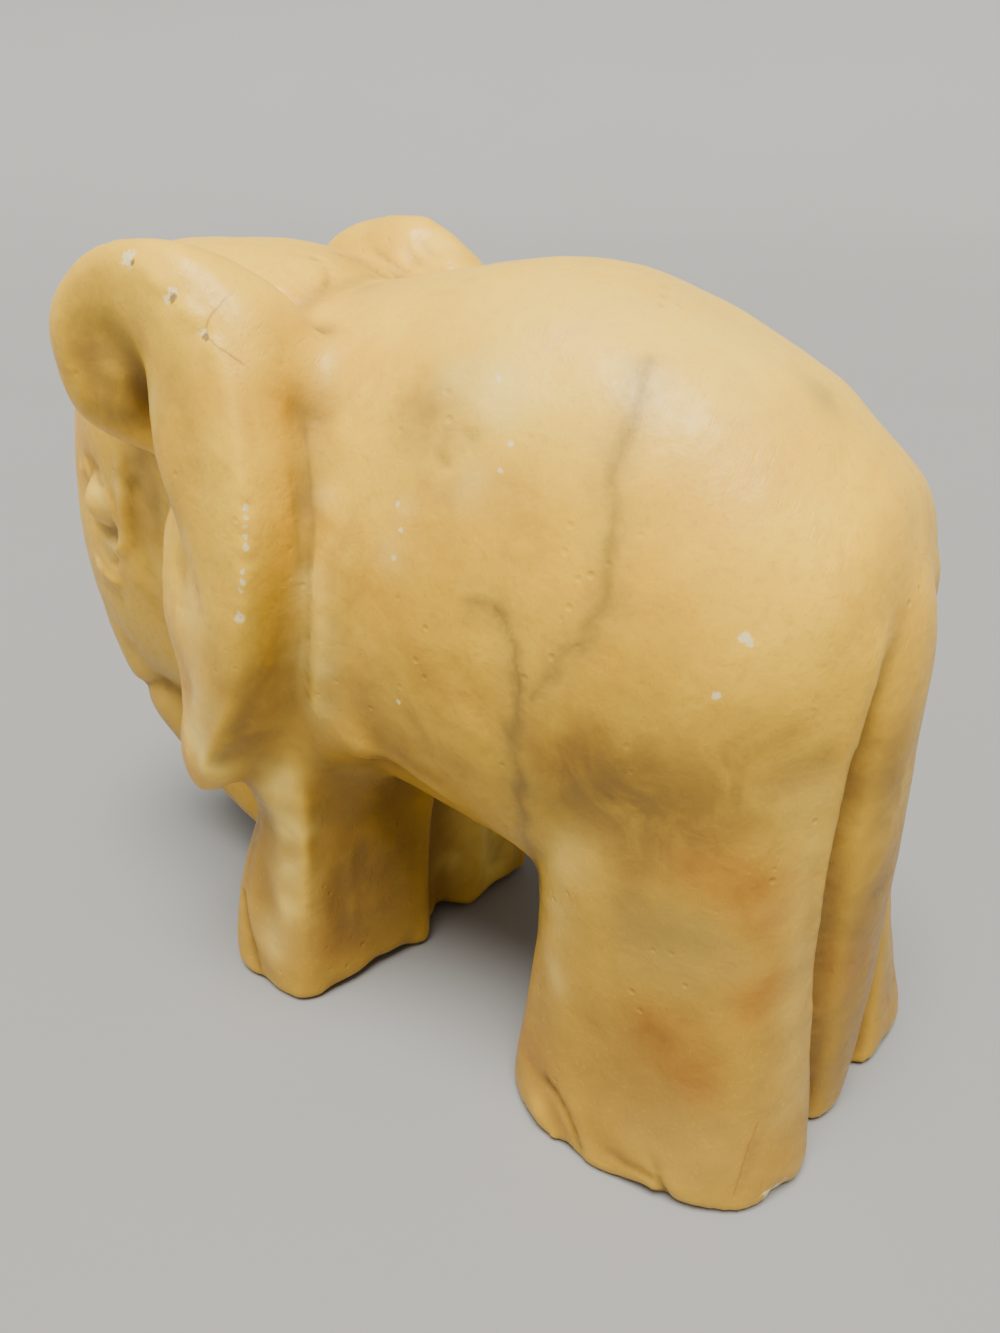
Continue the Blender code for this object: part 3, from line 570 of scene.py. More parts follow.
@dataclass
class StainsAndPaintedLight:
    """Stains, painted shade and painted light in the stone: each one's spots are (side, fore, up, radius,
    strength).
    """

    patches: dict[StainAndPaintedLight, tuple[Spot, ...]] = field(default_factory=lambda: {
        StainAndPaintedLight.RUST: (
            (37, 14, 73, 6, 0.9), (34, 7, 70, 7, 0.95), (30, 2, 62, 6, 0.9), (37, 17, 34, 6, 0.8),
            (37, 12, 27, 6, 0.8), (32, 3, 47, 6, 0.95), (38, 25, 68, 5, 0.4), (37, 20, 39, 5, 0.6),
            (39, 34, 88, 6, 0.6), (39, 40, 84, 6, 0.5), (40, 46, 89, 5, 0.4), (39, 94, 140, 7, 0.3),
            (35, 98, 150, 6, 0.28), (42, 92, 126, 8, 0.3), (42, 94, 110, 9, 0.3), (33, 105, 20, 10, 0.5),
            (30, 50, 14, 7, 0.5), (-2, 112, 159, 6, 0.5), (10, 100, 158, 8, 0.3), (11, -7, 44, 9, 0.6),
            (44, 120, 60, 6, 0.5), (32, 69, 141, 6, 0.3),
        ),
        # Painted light: lit ridges, edges and facets of the legs, ears, eye and body, the hind legs' rear
        # edges, the back's top, and the shaded right front leg made lighter; a few flank spots are milky
        # flecks in the stone.
        StainAndPaintedLight.PAINTED_LIGHT_AND_MILK: (
            (-26, 93, 22, 14, 0.9), (46, 121, 138, 4, 0.5), (46, 119, 124, 4, 0.5), (47, 113, 112, 4, 0.5),
            (35, 42, 61, 5, 0.35), (34, 43, 50, 5, 0.4), (34, 43, 38, 5, 0.4), (36, 37, 66, 6, 0.25),
            (-20, 94, 30, 10, 0.8), (21, 174, 89, 3, 0.6), (24, 168, 96, 3, 0.6), (27, 163, 109, 4, 0.6),
            (-21, 92, 11, 9, 0.8), (-8, 97, 16, 3, 0.7), (39, 91, 108, 4, 0.65), (38.5, 91, 100, 4, 0.55),
            (39, 91, 92, 4, 0.65), (38, 93, 82, 4, 0.5), (37, 90, 123, 4, 0.45), (29, 153, 114, 4, 0.5),
            (25, 165, 97, 3, 0.6), (39, 104, 60, 5, 0.7), (37, 104, 48, 5, 0.8), (37, 106, 36, 5, 0.8),
            (37, 107, 26, 5, 0.7), (36, 113, 16, 6, 0.5), (48, 115, 82, 5, 0.6), (46, 120, 72, 5, 0.6),
            (30, 56, 146, 5, 0.7), (31, 53, 142, 4, 0.5), (30, 65, 146, 3.5, 0.5), (37, 58, 130, 4, 0.5),
            (39, 71, 125, 3.5, 0.45), (39, 72, 117, 3.5, 0.4), (44, 119, 100, 6, 0.4),
            (25, 165, 104, 6, 0.45), (46, 116, 74, 5, 0.4), (27, 0, 85, 6, 0.24), (26.5, -0.5, 75, 6, 0.24),
            (26, -1, 65, 6, 0.24), (25, -1.5, 54, 6, 0.24), (24, -2, 43, 6, 0.24), (24.5, -3, 32, 6, 0.24),
            (25, -4, 21, 6, 0.24), (47, 116, 66, 5, 0.7), (42, 105, 52, 4, 0.6), (-31, 113, 159, 6, 0.4),
            (20, 50, 158, 24, 0.3), (12, 30, 150, 18, 0.3),
        ),
        # Painted shade: under the haunch, on the tail, the front legs' rear facets, the ear tips, roots and
        # lobes, the cheeks, the lower flank and the feet; two flank spots are the brown of a bruise in the
        # stone.
        StainAndPaintedLight.PAINTED_SHADE_AND_BRUISE: (
            (39, 36, 84, 12, 0.7), (38, 24, 85, 12, 0.7), (35, 10, 88, 12, 0.65), (30, 1, 93, 7, 0.5),
            (38, 28, 84, 19, 0.45), (38, 21, 58, 9, 0.4), (31, 66, 143, 7, 0.4), (34, 74, 139, 6, 0.35),
            (50, 101, 86, 7, 0.6), (49, 108, 76, 6, 0.8), (48, 114, 69, 4, 0.8), (44, 101, 92, 9, 0.3),
            (46, 100, 102, 8, 0.15), (30, 143, 120, 5, 0.5), (30, 142, 112, 5, 0.5), (28, 150, 106, 7, 0.25),
            (41, 134, 136, 6, 0.7), (35, 90, 100, 4, 0.3), (36, 95, 80, 5, 0.5), (40, 60, 100, 12, 0.2),
            (38, 24, 74, 12, 0.5), (39, 72, 88, 10, 0.35), (38, 61, 80, 9, 0.35), (46, 113, 140, 11, 0.35),
            (48, 110, 124, 9, 0.3), (45, 136, 154, 10, 0.4), (28, 158, 118, 12, 0.2), (40, 131, 140, 9, 0.8),
            (41, 126, 134, 7, 0.8), (44, 136, 146, 12, 0.6), (24, 98, 50, 20, 0.75), (22, 99, 24, 18, 0.7),
            (-12, 94, 16, 4, 0.5), (43, 97, 100, 10, 0.15), (43, 102, 84, 12, 0.3), (43, 106, 70, 8, 0.6),
            (34, 76, 71, 9, 0.4), (38, 20, 14, 18, 0.45), (12, -6, 60, 12, 0.3), (12, -8, 84, 12, 0.9),
            (10, -8, 56, 12, 0.95), (8, -8, 24, 15, 1.0),
        ),
        StainAndPaintedLight.ASH: (
            (37, 15, 55, 11, 0.8), (38, 22, 56, 8, 0.5), (3, 13, 143, 5, 0.7), (14, 164, 55, 9, 0.8),
            (39, 88, 90, 12, 0.35), (38, 10, 14, 12, 0.4), (36, 63, 134, 9, 0.3), (-3, 170, 62, 10, 0.4),
            (43, 125, 145, 6, 0.4),
        ),
    })
    mirrored_strength: float = 0.7
    mirrored_shift: float = 5.0
    drift_seed: int = 7
    drift_size: float = 9.0
    drift_reach: float = 3.0
    vein_reach: float = 9.0
    crack_reach: float = 5.0
    hollow_passes: tuple[int, int] = (4, 18)
    crease_shade: float = 0.9
    crease_shade_and_wear: float = 0.7
    veins: tuple[Path, Path] = (
        [(22, 35, 149), (31, 34, 139), (33, 35, 134), (35, 33, 128), (37, 33, 122), (38, 32, 115),
         (39, 37, 108), (40, 42, 100), (40, 44, 97)],
        [(40, 56, 111), (40, 52, 111), (40, 49, 107), (40, 48, 102), (40, 47, 97), (40, 48, 88), (38, 48, 79),
         (35, 49, 69), (31, 50, 52), (29, 49, 40)],
    )
    cracks: tuple[Path, ...] = (
        [(41, 104, 156), (44, 105, 153), (45, 105, 151), (45, 103, 149), (44, 100, 147)],
        [(34, -1, 19), (36, 0, 13), (37, 1, 7)],
    )
    flakes: tuple[Mark, ...] = (
        (44, 123, 162, 2.2), (45.2, 112.3, 156.5, 1.6), (45.2, 105.3, 151.0, 1.3), (50.5, 94.3, 124, 0.8),
        (50.7, 94.4, 122.4, 0.7), (50.9, 94.5, 120.8, 0.6), (51, 94.6, 119, 0.7), (51.2, 94.6, 117.2, 0.8),
        (51.4, 95.6, 112.6, 0.7), (51.6, 96.0, 110.8, 0.9), (51.8, 96.6, 109.0, 0.7), (52, 98, 103.8, 1.3),
        (34, 11, 113, 1.3), (36, 14, 104, 1.0), (29, -5, 2.2, 2.2), (32, -4, 3, 1.6),
        (42, 13, 0.8, 1.2), (39, 73, 88, 0.8), (30, 57, 146, 0.9), (34, 52, 137, 0.6), (36, 53, 133, 0.6),
        (38, 72, 125, 0.6), (39, 71, 121, 0.6), (39, 72, 116, 0.6),
    )
    pits: tuple[Mark, ...] = (
        (45.2, 112.0, 156.0, 1.1), (45.2, 105.0, 150.6, 1.0), (42, 13.2, 0.6, 1.0), (44.5, 121.5, 161.5, 0.8),
    )

    def scars(self, skin: Skin, marks: tuple[Mark, ...]) -> list[tuple[Place, float]]:
        """Lay marks on the stone.

        Args:
            skin: The stone's surface.
            marks: Side, fore, up and radius of each mark, steps.

        Returns:
            Their middles and radii, in metres.
        """
        laid = []
        for side, fore, up, radius in marks:
            middle = skin.tree.find_nearest(skin.layout.at((side, fore, up)))[0]
            laid.append((tuple(middle), radius * skin.layout.step))
        return laid

    def lines(self, skin: Skin) -> None:
        """Write the veins and the cracks as attributes of the skin."""
        count = len(skin.points)
        veins = np.zeros((count, 4))
        for index, path in enumerate(self.veins):
            aside, strength = skin.across(path, self.vein_reach)
            veins[:, 2 * index] = 0.5 + aside / (2.0 * self.vein_reach)
            veins[:, 2 * index + 1] = strength
        marks = np.zeros((count, 4))
        marks[:, 0] = 1.0
        for path in self.cracks:
            aside, strength = skin.across(path, self.crack_reach)
            marks[:, 0] = np.where(strength > 0.0, 0.5 + aside / (2.0 * self.crack_reach), marks[:, 0])
            marks[:, 1] = np.maximum(marks[:, 1], strength)
        marks[:, 3] = 1.0
        skin.keep("veins", veins)
        skin.keep("marks", marks)

    def paint(self, skin: Skin) -> None:
        """Write the attribute of stains, painted shade and painted light, one channel for each, and a lighter
        copy on the right side.
        """
        layout = skin.layout
        size = self.drift_size * layout.step
        noise.seed_set(self.drift_seed)
        drift = np.array([noise.noise_vector(Vector(point) / size) for point in skin.points])
        points = skin.points + drift * (self.drift_reach * layout.step)
        clear = np.ones((len(points), 4))
        spots = [(stain, *spot) for stain, group in self.patches.items() for spot in group]
        for stain, side, fore, up, radius, strength in spots:
            for mirror in SIDES:
                if mirror < 0.0 and side < 5.0:
                    continue
                shift = 0.0 if mirror > 0.0 else self.mirrored_shift
                middle = np.array(layout.at((mirror * side, fore - shift, up + shift)))
                away = np.linalg.norm(points - middle, axis=1) / (radius * layout.step)
                share = strength * (1.0 if mirror > 0.0 else self.mirrored_strength)
                clear[:, stain.value] *= 1.0 - share * np.exp(-away ** 2)
        skin.keep("stains_and_painted_light", 1.0 - clear)

    def hollows(self, skin: Skin) -> None:
        """Write how hollow and how proud each point lies: painted shade darkens the creases, and proud places
        come out paler.
        """
        count = len(skin.points)
        ends = np.concatenate([skin.edges[:, 0], skin.edges[:, 1]])
        others = np.concatenate([skin.edges[:, 1], skin.edges[:, 0]])
        degree = np.bincount(ends, minlength=count)[:, None]
        mean = skin.points.copy()
        hollow = np.zeros(count)
        for turn in range(1, self.hollow_passes[-1] + 1):
            sums = [np.bincount(ends, mean[others, axis], count) for axis in range(3)]
            mean = np.stack(sums, axis=1) / degree
            if turn in self.hollow_passes:
                hollow += ((mean - skin.points) * skin.normals).sum(axis=1) / skin.layout.step
        values = np.zeros((count, 4))
        values[:, 0] = np.clip(hollow * self.crease_shade, 0.0, 1.0)
        values[:, 1] = np.clip(-hollow * self.crease_shade_and_wear, 0.0, 1.0)
        values[:, 3] = 1.0
        skin.keep("crease_shade_and_wear", values)


class Bench:
    """Adds nodes to one node tree and links them."""

    def __init__(self, tree: bpy.types.NodeTree) -> None:
        self.tree = tree

    def node(self, kind: str, feeds: dict[int | str, object] | None = None, **settings: object
             ) -> bpy.types.Node:
        """Add a node, set its properties and feed its sockets.

        Args:
            kind: Type of the node.
            feeds: Sources or plain values of its sockets.
            settings: Its properties.

        Returns:
            The node.
        """
        made = self.tree.nodes.new(kind)
        for name, value in settings.items():
            setattr(made, name, value)
        for socket, source in (feeds or {}).items():
            self.feed(made, socket, source)
        return made

    def feed(self, node: bpy.types.Node, socket: int | str, source: object) -> None:
        """Link a socket to the source, or set it to a plain value."""
        if isinstance(source, bpy.types.NodeSocket):
            self.tree.links.new(source, node.inputs[socket])
        else:
            node.inputs[socket].default_value = source

    def math(self, operation: str, first: object, second: object = 0.0, clamp: bool = False
             ) -> bpy.types.NodeSocket:
        """A math node over two values."""
        feeds = {0: first, 1: second}
        return self.node("ShaderNodeMath", feeds, operation=operation, use_clamp=clamp).outputs[0]

    def noise(self, position: object, scale: float, detail: float = 3.0, rough: float = 0.5,
              twist: float = 0.0) -> bpy.types.NodeSocket:
        """The value of a noise texture at the position."""
        return self.node("ShaderNodeTexNoise", {"Vector": position, "Scale": scale, "Detail": detail,
                                                "Roughness": rough, "Distortion": twist}).outputs["Fac"]

    def span(self, value: object, low: float, high: float, start: float = 0.0, end: float = 1.0
             ) -> bpy.types.NodeSocket:
        """Map the value from low..high to start..end, smoothly and clamped."""
        feeds = {"Value": value, "From Min": low, "From Max": high, "To Min": start, "To Max": end}
        return self.node("ShaderNodeMapRange", feeds, interpolation_type="SMOOTHSTEP").outputs["Result"]

    def blend(self, share: object, first: object, second: object) -> bpy.types.NodeSocket:
        """Mix two colours."""
        feeds = {0: share, 6: first, 7: second}
        return self.node("ShaderNodeMix", feeds, data_type="RGBA", clamp_factor=True).outputs[2]

    @classmethod
    def group(cls, name: str, takes: dict[str, str], gives: tuple[str, ...]
              ) -> tuple[Bench, bpy.types.NodeOutputs, bpy.types.Node]:
        """Begin a node group.

        Args:
            name: Name of the group.
            takes: Type of each of its inputs.
            gives: Names of its outputs, which are plain values.

        Returns:
            The group's bench, the inputs to read from, and the node to feed the outputs of.
        """
        tree = bpy.data.node_groups.new(name, "ShaderNodeTree")
        for title, kind in takes.items():
            tree.interface.new_socket(title, in_out="INPUT", socket_type=kind)
        for title in gives:
            tree.interface.new_socket(title, in_out="OUTPUT", socket_type="NodeSocketFloat")
        bench = cls(tree)
        return bench, bench.node("NodeGroupInput").outputs, bench.node("NodeGroupOutput")


@dataclass(frozen=True)
class HoneyAlabaster:
    """Finish of the stone: colours with painted light and shade, wax and translucency."""

    pale: Colour = (0.93, 0.560, 0.026, 1.0)
    honey: Colour = (0.81, 0.430, 0.013, 1.0)
    amber: Colour = (0.64, 0.325, 0.022, 1.0)
    # Darker tone of the painted shade towards the bottom.
    deep: Colour = (0.32, 0.168, 0.022, 1.0)
    rust: Colour = (0.33, 0.108, 0.006, 1.0)
    # Brown of the painted shade, also used for the chips' dark hearts.
    painted_shade_brown: Colour = (0.22, 0.118, 0.024, 1.0)
    ash: Colour = (0.38, 0.245, 0.050, 1.0)
    # Pale yellow of the painted light and of the milky flecks.
    painted_light_and_milk: Colour = (0.93, 0.67, 0.15, 1.0)
    vein: Colour = (0.23, 0.135, 0.03, 1.0)
    flake: Colour = (0.86, 0.72, 0.36, 1.0)
    crack: Colour = (0.20, 0.09, 0.015, 1.0)
    shine: float = 0.24
    wax: float = 0.04
    glow: float = 0.15
    glow_tone: tuple[float, float, float] = (1.0, 0.45, 0.10)
    glow_depth: float = 0.004
    relief: float = 0.6

    def line_group(self) -> bpy.types.NodeTree:
        """Group that turns a signed distance and a strength into a soft halo and a dark core."""
        names = ("Aside", "Strength", "Wander", "Core", "Halo")
        bench, come, go = Bench.group("stone_line", dict.fromkeys(names, "NodeSocketFloat"), ("Core", "Halo"))
        off = bench.math("ADD", bench.math("SUBTRACT", come["Aside"], 0.5), come["Wander"])
        away = bench.math("ABSOLUTE", off)
        for index, name in enumerate(("Core", "Halo")):
            line = bench.math("SUBTRACT", 1.0, bench.math("DIVIDE", away, come[name]), clamp=True)
            bench.feed(go, index, bench.math("MULTIPLY", line, come["Strength"]))
        return bench.tree

    def line(self, bench: Bench, group: bpy.types.NodeTree, aside: object, strength: object, wander: object,
             core: float, halo: float) -> tuple[bpy.types.NodeSocket, bpy.types.NodeSocket]:
        """Draw one line in the stone.

        Args:
            bench: Where the material is made.
            group: The line group.
            aside: Signed distance from the line, as the attribute keeps it.
            strength: The line's strength.
            wander: What moves the line to and fro.
            core: Half width of the core, as a share of the attribute's span.
            halo: Half width of the halo, likewise.

        Returns:
            The core and the halo.
        """
        feeds = {"Aside": aside, "Strength": strength, "Wander": wander, "Core": core, "Halo": halo}
        made = bench.node("ShaderNodeGroup", feeds, node_tree=group)
        return made.outputs["Core"], made.outputs["Halo"]

    def speck_group(self) -> bpy.types.NodeTree:
        """Group that adds one round speck to those so far: 1 in its middle, 0 at its radius."""
        takes = {"Position": "NodeSocketVector", "Middle": "NodeSocketVector", "Radius": "NodeSocketFloat",
                 "So far": "NodeSocketFloat"}
        bench, come, go = Bench.group("pale_speck", takes, ("Specks",))
        ends = {0: come["Position"], 1: come["Middle"]}
        away = bench.node("ShaderNodeVectorMath", ends, operation="DISTANCE").outputs["Value"]
        share = bench.math("SUBTRACT", 1.0, bench.math("DIVIDE", away, come["Radius"]))
        bench.feed(go, 0, bench.math("MAXIMUM", share, come["So far"]))
        return bench.tree

    def dotted(self, bench: Bench, group: bpy.types.NodeTree, position: object,
               marks: list[tuple[Place, float]]) -> object:
        """Chain the speck group over marks.

        Args:
            bench: Where the material is made.
            group: The speck group.
            position: The place on the stone.
            marks: Middles and radii of the marks.

        Returns:
            1 in the middle of a mark, 0 at its radius and less further out.
        """
        dots: object = -1.0
        for middle, radius in marks:
            feeds = {"Position": position, "Middle": middle, "Radius": radius, "So far": dots}
            dots = bench.node("ShaderNodeGroup", feeds, node_tree=group).outputs["Specks"]
        return dots

    def make(self, layout: Layout, scars: list[tuple[Place, float]], pits: list[tuple[Place, float]]
             ) -> bpy.types.Material:
        """Build the stone's material.

        Args:
            layout: The figure's measure, which gives the bump its height.
            scars: Middles and radii of the pale specks.
            pits: Middles and radii of the dark hearts of the chips.

        Returns:
            The material.
        """
        material = bpy.data.materials.new("honey_alabaster_carved")
        material.use_nodes = True
        bench = Bench(material.node_tree)
        shader = material.node_tree.nodes["Principled BSDF"]
        position = bench.node("ShaderNodeTexCoord").outputs["Object"]
        painted, channels = {}, {}
        for name in ("stains_and_painted_light", "crease_shade_and_wear", "veins", "marks"):
            painted[name] = bench.node("ShaderNodeAttribute", attribute_name=name).outputs
            channels[name] = bench.node("ShaderNodeSeparateColor", {0: painted[name]["Color"]}).outputs

        cloud = bench.noise(position, 22.0, 3.0, 0.55, 0.6)
        mottle = bench.noise(position, 75.0, 4.0, 0.6, 1.0)
        grain = bench.noise(position, 420.0, 3.0, 0.6)
        speck = bench.noise(position, 950.0, 2.0, 0.65)
        colour = bench.blend(bench.span(cloud, 0.36, 0.64), self.honey, self.pale)
        step = layout.step
        # Painted light and shade by height: darker towards the bottom, paler towards the top.
        up = bench.node("ShaderNodeSeparateXYZ", {0: position}).outputs["Z"]
        height_for_painted_light = bench.math("ADD", up, bench.math("MULTIPLY", cloud, 40.0 * step))
        for source, low, high, most, tone in (
            (mottle, 0.50, 0.72, 0.60, self.amber), (mottle, 0.46, 0.30, 0.35, self.pale),
            (grain, 0.50, 0.75, 0.40, self.amber), (grain, 0.47, 0.28, 0.30, self.pale),
            (height_for_painted_light, 150.0 * step, 40.0 * step, 0.90, self.deep),
            (height_for_painted_light, 135.0 * step, 190.0 * step, 0.45, self.pale), (speck, 0.58, 0.74, 0.45, self.amber),
        ):
            colour = bench.blend(bench.span(source, low, high, 0.0, most), colour, tone)
        patchy = bench.span(mottle, 0.34, 0.60, 0.65, 1.0)
        # Rust and ash stains, painted shade and painted light, blended in from the attribute's channels.
        for channel, tone in ((channels["stains_and_painted_light"][0], self.rust), (channels["stains_and_painted_light"][1], self.painted_shade_brown),
                              (channels["stains_and_painted_light"][2], self.ash), (painted["stains_and_painted_light"]["Alpha"], self.painted_light_and_milk)):
            colour = bench.blend(bench.math("MULTIPLY", channel, patchy), colour, tone)

        group = self.line_group()
        drift = bench.math("SUBTRACT", bench.noise(position, 150.0, 3.0, 0.6), 0.5)
        first = self.line(bench, group, channels["veins"][0], channels["veins"][1],
                          bench.math("MULTIPLY", drift, 0.30), 0.110, 0.30)
        second = self.line(bench, group, channels["veins"][2], painted["veins"]["Alpha"],
                           bench.math("MULTIPLY", drift, 0.28), 0.120, 0.32)
        hair = self.line(bench, group, channels["marks"][0], channels["marks"][1],
                         bench.math("MULTIPLY", drift, 0.16), 0.035, 0.10)
        halo = bench.math("MAXIMUM", first[1], second[1])
        core = bench.math("MAXIMUM", bench.math("MULTIPLY", first[0], 0.62), second[0])
        core = bench.math("MULTIPLY", core, bench.span(mottle, 0.36, 0.56, 0.35, 1.0))
        # Veins and hairline cracks; painted shade in the creases, and proud places paler.
        for mask, most, tone in (
            (halo, 0.45, self.ash), (core, 0.75, self.vein), (hair[0], 0.60, self.crack),
            (channels["crease_shade_and_wear"][0], 0.75, self.painted_shade_brown), (channels["crease_shade_and_wear"][1], 0.35, self.pale),
        ):
            colour = bench.blend(bench.math("MULTIPLY", mask, most), colour, tone)

        spots = self.speck_group()
        dots = self.dotted(bench, spots, position, scars)
        hearts = self.dotted(bench, spots, position, pits)
        ragged = bench.math("ADD", dots, bench.math("MULTIPLY", bench.math("SUBTRACT", speck, 0.55), 2.4))
        scar = bench.span(ragged, -0.05, 0.40, 0.0, 0.8)
        colour = bench.blend(scar, colour, self.flake)
        torn = bench.math("ADD", hearts, bench.math("MULTIPLY", bench.math("SUBTRACT", speck, 0.5), 2.0))
        colour = bench.blend(bench.span(torn, 0.0, 0.5, 0.0, 0.85), colour, self.painted_shade_brown)
        bench.feed(shader, "Base Color", colour)

        rough = bench.span(grain, 0.30, 0.70, 0.33, 0.47)
        rough = bench.math("ADD", rough, bench.math("MULTIPLY", scar, 0.35))
        rough = bench.math("ADD", rough, bench.math("MULTIPLY", channels["crease_shade_and_wear"][0], 0.22))
        bench.feed(shader, "Roughness", rough)

        swirl = bench.noise(position, 170.0, 3.0, 0.62, 0.4)
        cells = bench.node("ShaderNodeTexVoronoi", {"Vector": position, "Scale": 240.0}, feature="F1")
        pit = bench.math("MULTIPLY", bench.span(cells.outputs["Distance"], 0.20, 0.05),
                         bench.span(bench.noise(position, 60.0, 0.0), 0.56, 0.66))
        stretch = bench.node("ShaderNodeMapping", {"Vector": position, "Rotation": (0.5, 0.3, 0.7),
                                                   "Scale": (1.0, 9.0, 1.6)})
        scratch = bench.span(bench.noise(stretch.outputs[0], 210.0, 1.0, 0.7), 0.60, 0.74)
        height = bench.math("ADD", bench.math("MULTIPLY", swirl, 0.75), bench.math("MULTIPLY", speck, 0.13))
        height = bench.math("SUBTRACT", height, bench.math("MULTIPLY", pit, 0.45))
        height = bench.math("SUBTRACT", height, bench.math("MULTIPLY", scratch, 0.10))
        feeds = {"Strength": 0.55, "Distance": self.relief * step, "Height": height}
        bump = bench.node("ShaderNodeBump", feeds)
        bench.feed(shader, "Normal", bump.outputs["Normal"])

        for name, value in (("Metallic", 0.0), ("IOR", 1.5), ("Specular IOR Level", self.shine),
                            ("Subsurface Weight", self.glow), ("Subsurface Radius", self.glow_tone),
                            ("Subsurface Scale", self.glow_depth), ("Coat Weight", self.wax),
                            ("Coat Roughness", 0.15)):
            shader.inputs[name].default_value = value
        return material


@dataclass
class Statuette:
    """The carved figure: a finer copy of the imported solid, worked and finished."""

    grain: float = 1.19
    weld: float = 0.00002
    rounding: int = 2
    polish: int = 6
    sole: float = 0.55
    waves: tuple[tuple[float, float, float], ...] = ((26.0, 0.55, 3.1), (11.0, 0.28, 7.7), (4.5, 0.09, 5.3))
    ears: EarWork = field(default_factory=EarWork)
    head: HeadWork = field(default_factory=HeadWork)
    legs: LegWork = field(default_factory=LegWork)
    knocks: Knocks = field(default_factory=Knocks)
    stains_and_painted_light: StainsAndPaintedLight = field(default_factory=StainsAndPaintedLight)
    finish: HoneyAlabaster = field(default_factory=HoneyAlabaster)

    def block(self, layout: Layout) -> bpy.types.Object:
        """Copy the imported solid, round its facets off and give it an even, fine skin.

        Args:
            layout: The figure's measure.

        Returns:
            The new piece.
        """
        bpy.ops.object.select_all(action="DESELECT")
        source = bpy.data.objects[NODE]
        piece = bpy.data.objects.new("carved_elephant", source.data.copy())
        piece.data.name = "carved_elephant"
        bpy.context.scene.collection.objects.link(piece)
        piece.select_set(True)
        bpy.context.view_layer.objects.active = piece
        bpy.ops.object.mode_set(mode="EDIT")
        bpy.ops.mesh.select_all(action="SELECT")
        bpy.ops.mesh.remove_doubles(threshold=self.weld)
        bpy.ops.mesh.delete_loose()
        bpy.ops.object.mode_set(mode="OBJECT")
        rounder = piece.modifiers.new("round_off", "SUBSURF")
        rounder.levels = self.rounding
        rounder.render_levels = self.rounding
        fine = piece.modifiers.new("fine_skin", "REMESH")
        fine.mode = "VOXEL"
        fine.voxel_size = self.grain * layout.step
        fine.use_smooth_shade = True
        polish = piece.modifiers.new("polish", "SMOOTH")
        polish.factor = 0.5
        polish.iterations = self.polish
        for name in ("round_off", "fine_skin", "polish"):
            bpy.ops.object.modifier_apply(modifier=name)
        return piece

    def keep_inside(self, skin: Skin, low: Vector, high: Vector) -> None:
        """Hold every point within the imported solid's box, and the soles flat on the ground.

        Args:
            skin: The stone's surface.
            low: The box's lowest corner.
            high: Its highest corner.
        """
        points = skin.points
        sole = points[:, 2] < low[2] + self.sole * skin.layout.step
        points[:, 2] = np.where(sole & (skin.normals[:, 2] < -0.5), low[2], points[:, 2])
        for axis in range(3):
            points[:, axis] = np.clip(points[:, axis], low[axis], high[axis])
        skin.write()

    def build(self) -> bpy.types.Object:
        """Make the piece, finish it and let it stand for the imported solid."""
        layout = Layout.from_frame()
        low, high = (Vector(corner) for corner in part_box(NODE))
        piece = self.block(layout)
        skin = Skin(piece, layout)
        self.ears.work(skin)
        self.ears.tips(skin)
        self.head.work(skin)
        self.head.crown(skin)
        self.legs.front(skin)
        self.legs.hind(skin)
        self.legs.belly(skin)
        for size, height, seed in self.waves:
            skin.waver(size, height, seed)
        skin.commit()
        self.knocks.work(skin)
        self.keep_inside(skin, low, high)
        self.stains_and_painted_light.paint(skin)
        self.stains_and_painted_light.hollows(skin)
        self.stains_and_painted_light.lines(skin)
        piece.data.materials.clear()
        scars, pits = (self.stains_and_painted_light.scars(skin, marks) for marks in (self.stains_and_painted_light.flakes, self.stains_and_painted_light.pits))
        piece.data.materials.append(self.finish.make(layout, scars, pits))
        piece.data.shade_smooth()
        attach(piece, "root")
        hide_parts(NODE)
        LOG.info("%s: %d faces", piece.name, len(piece.data.polygons))
        return piece


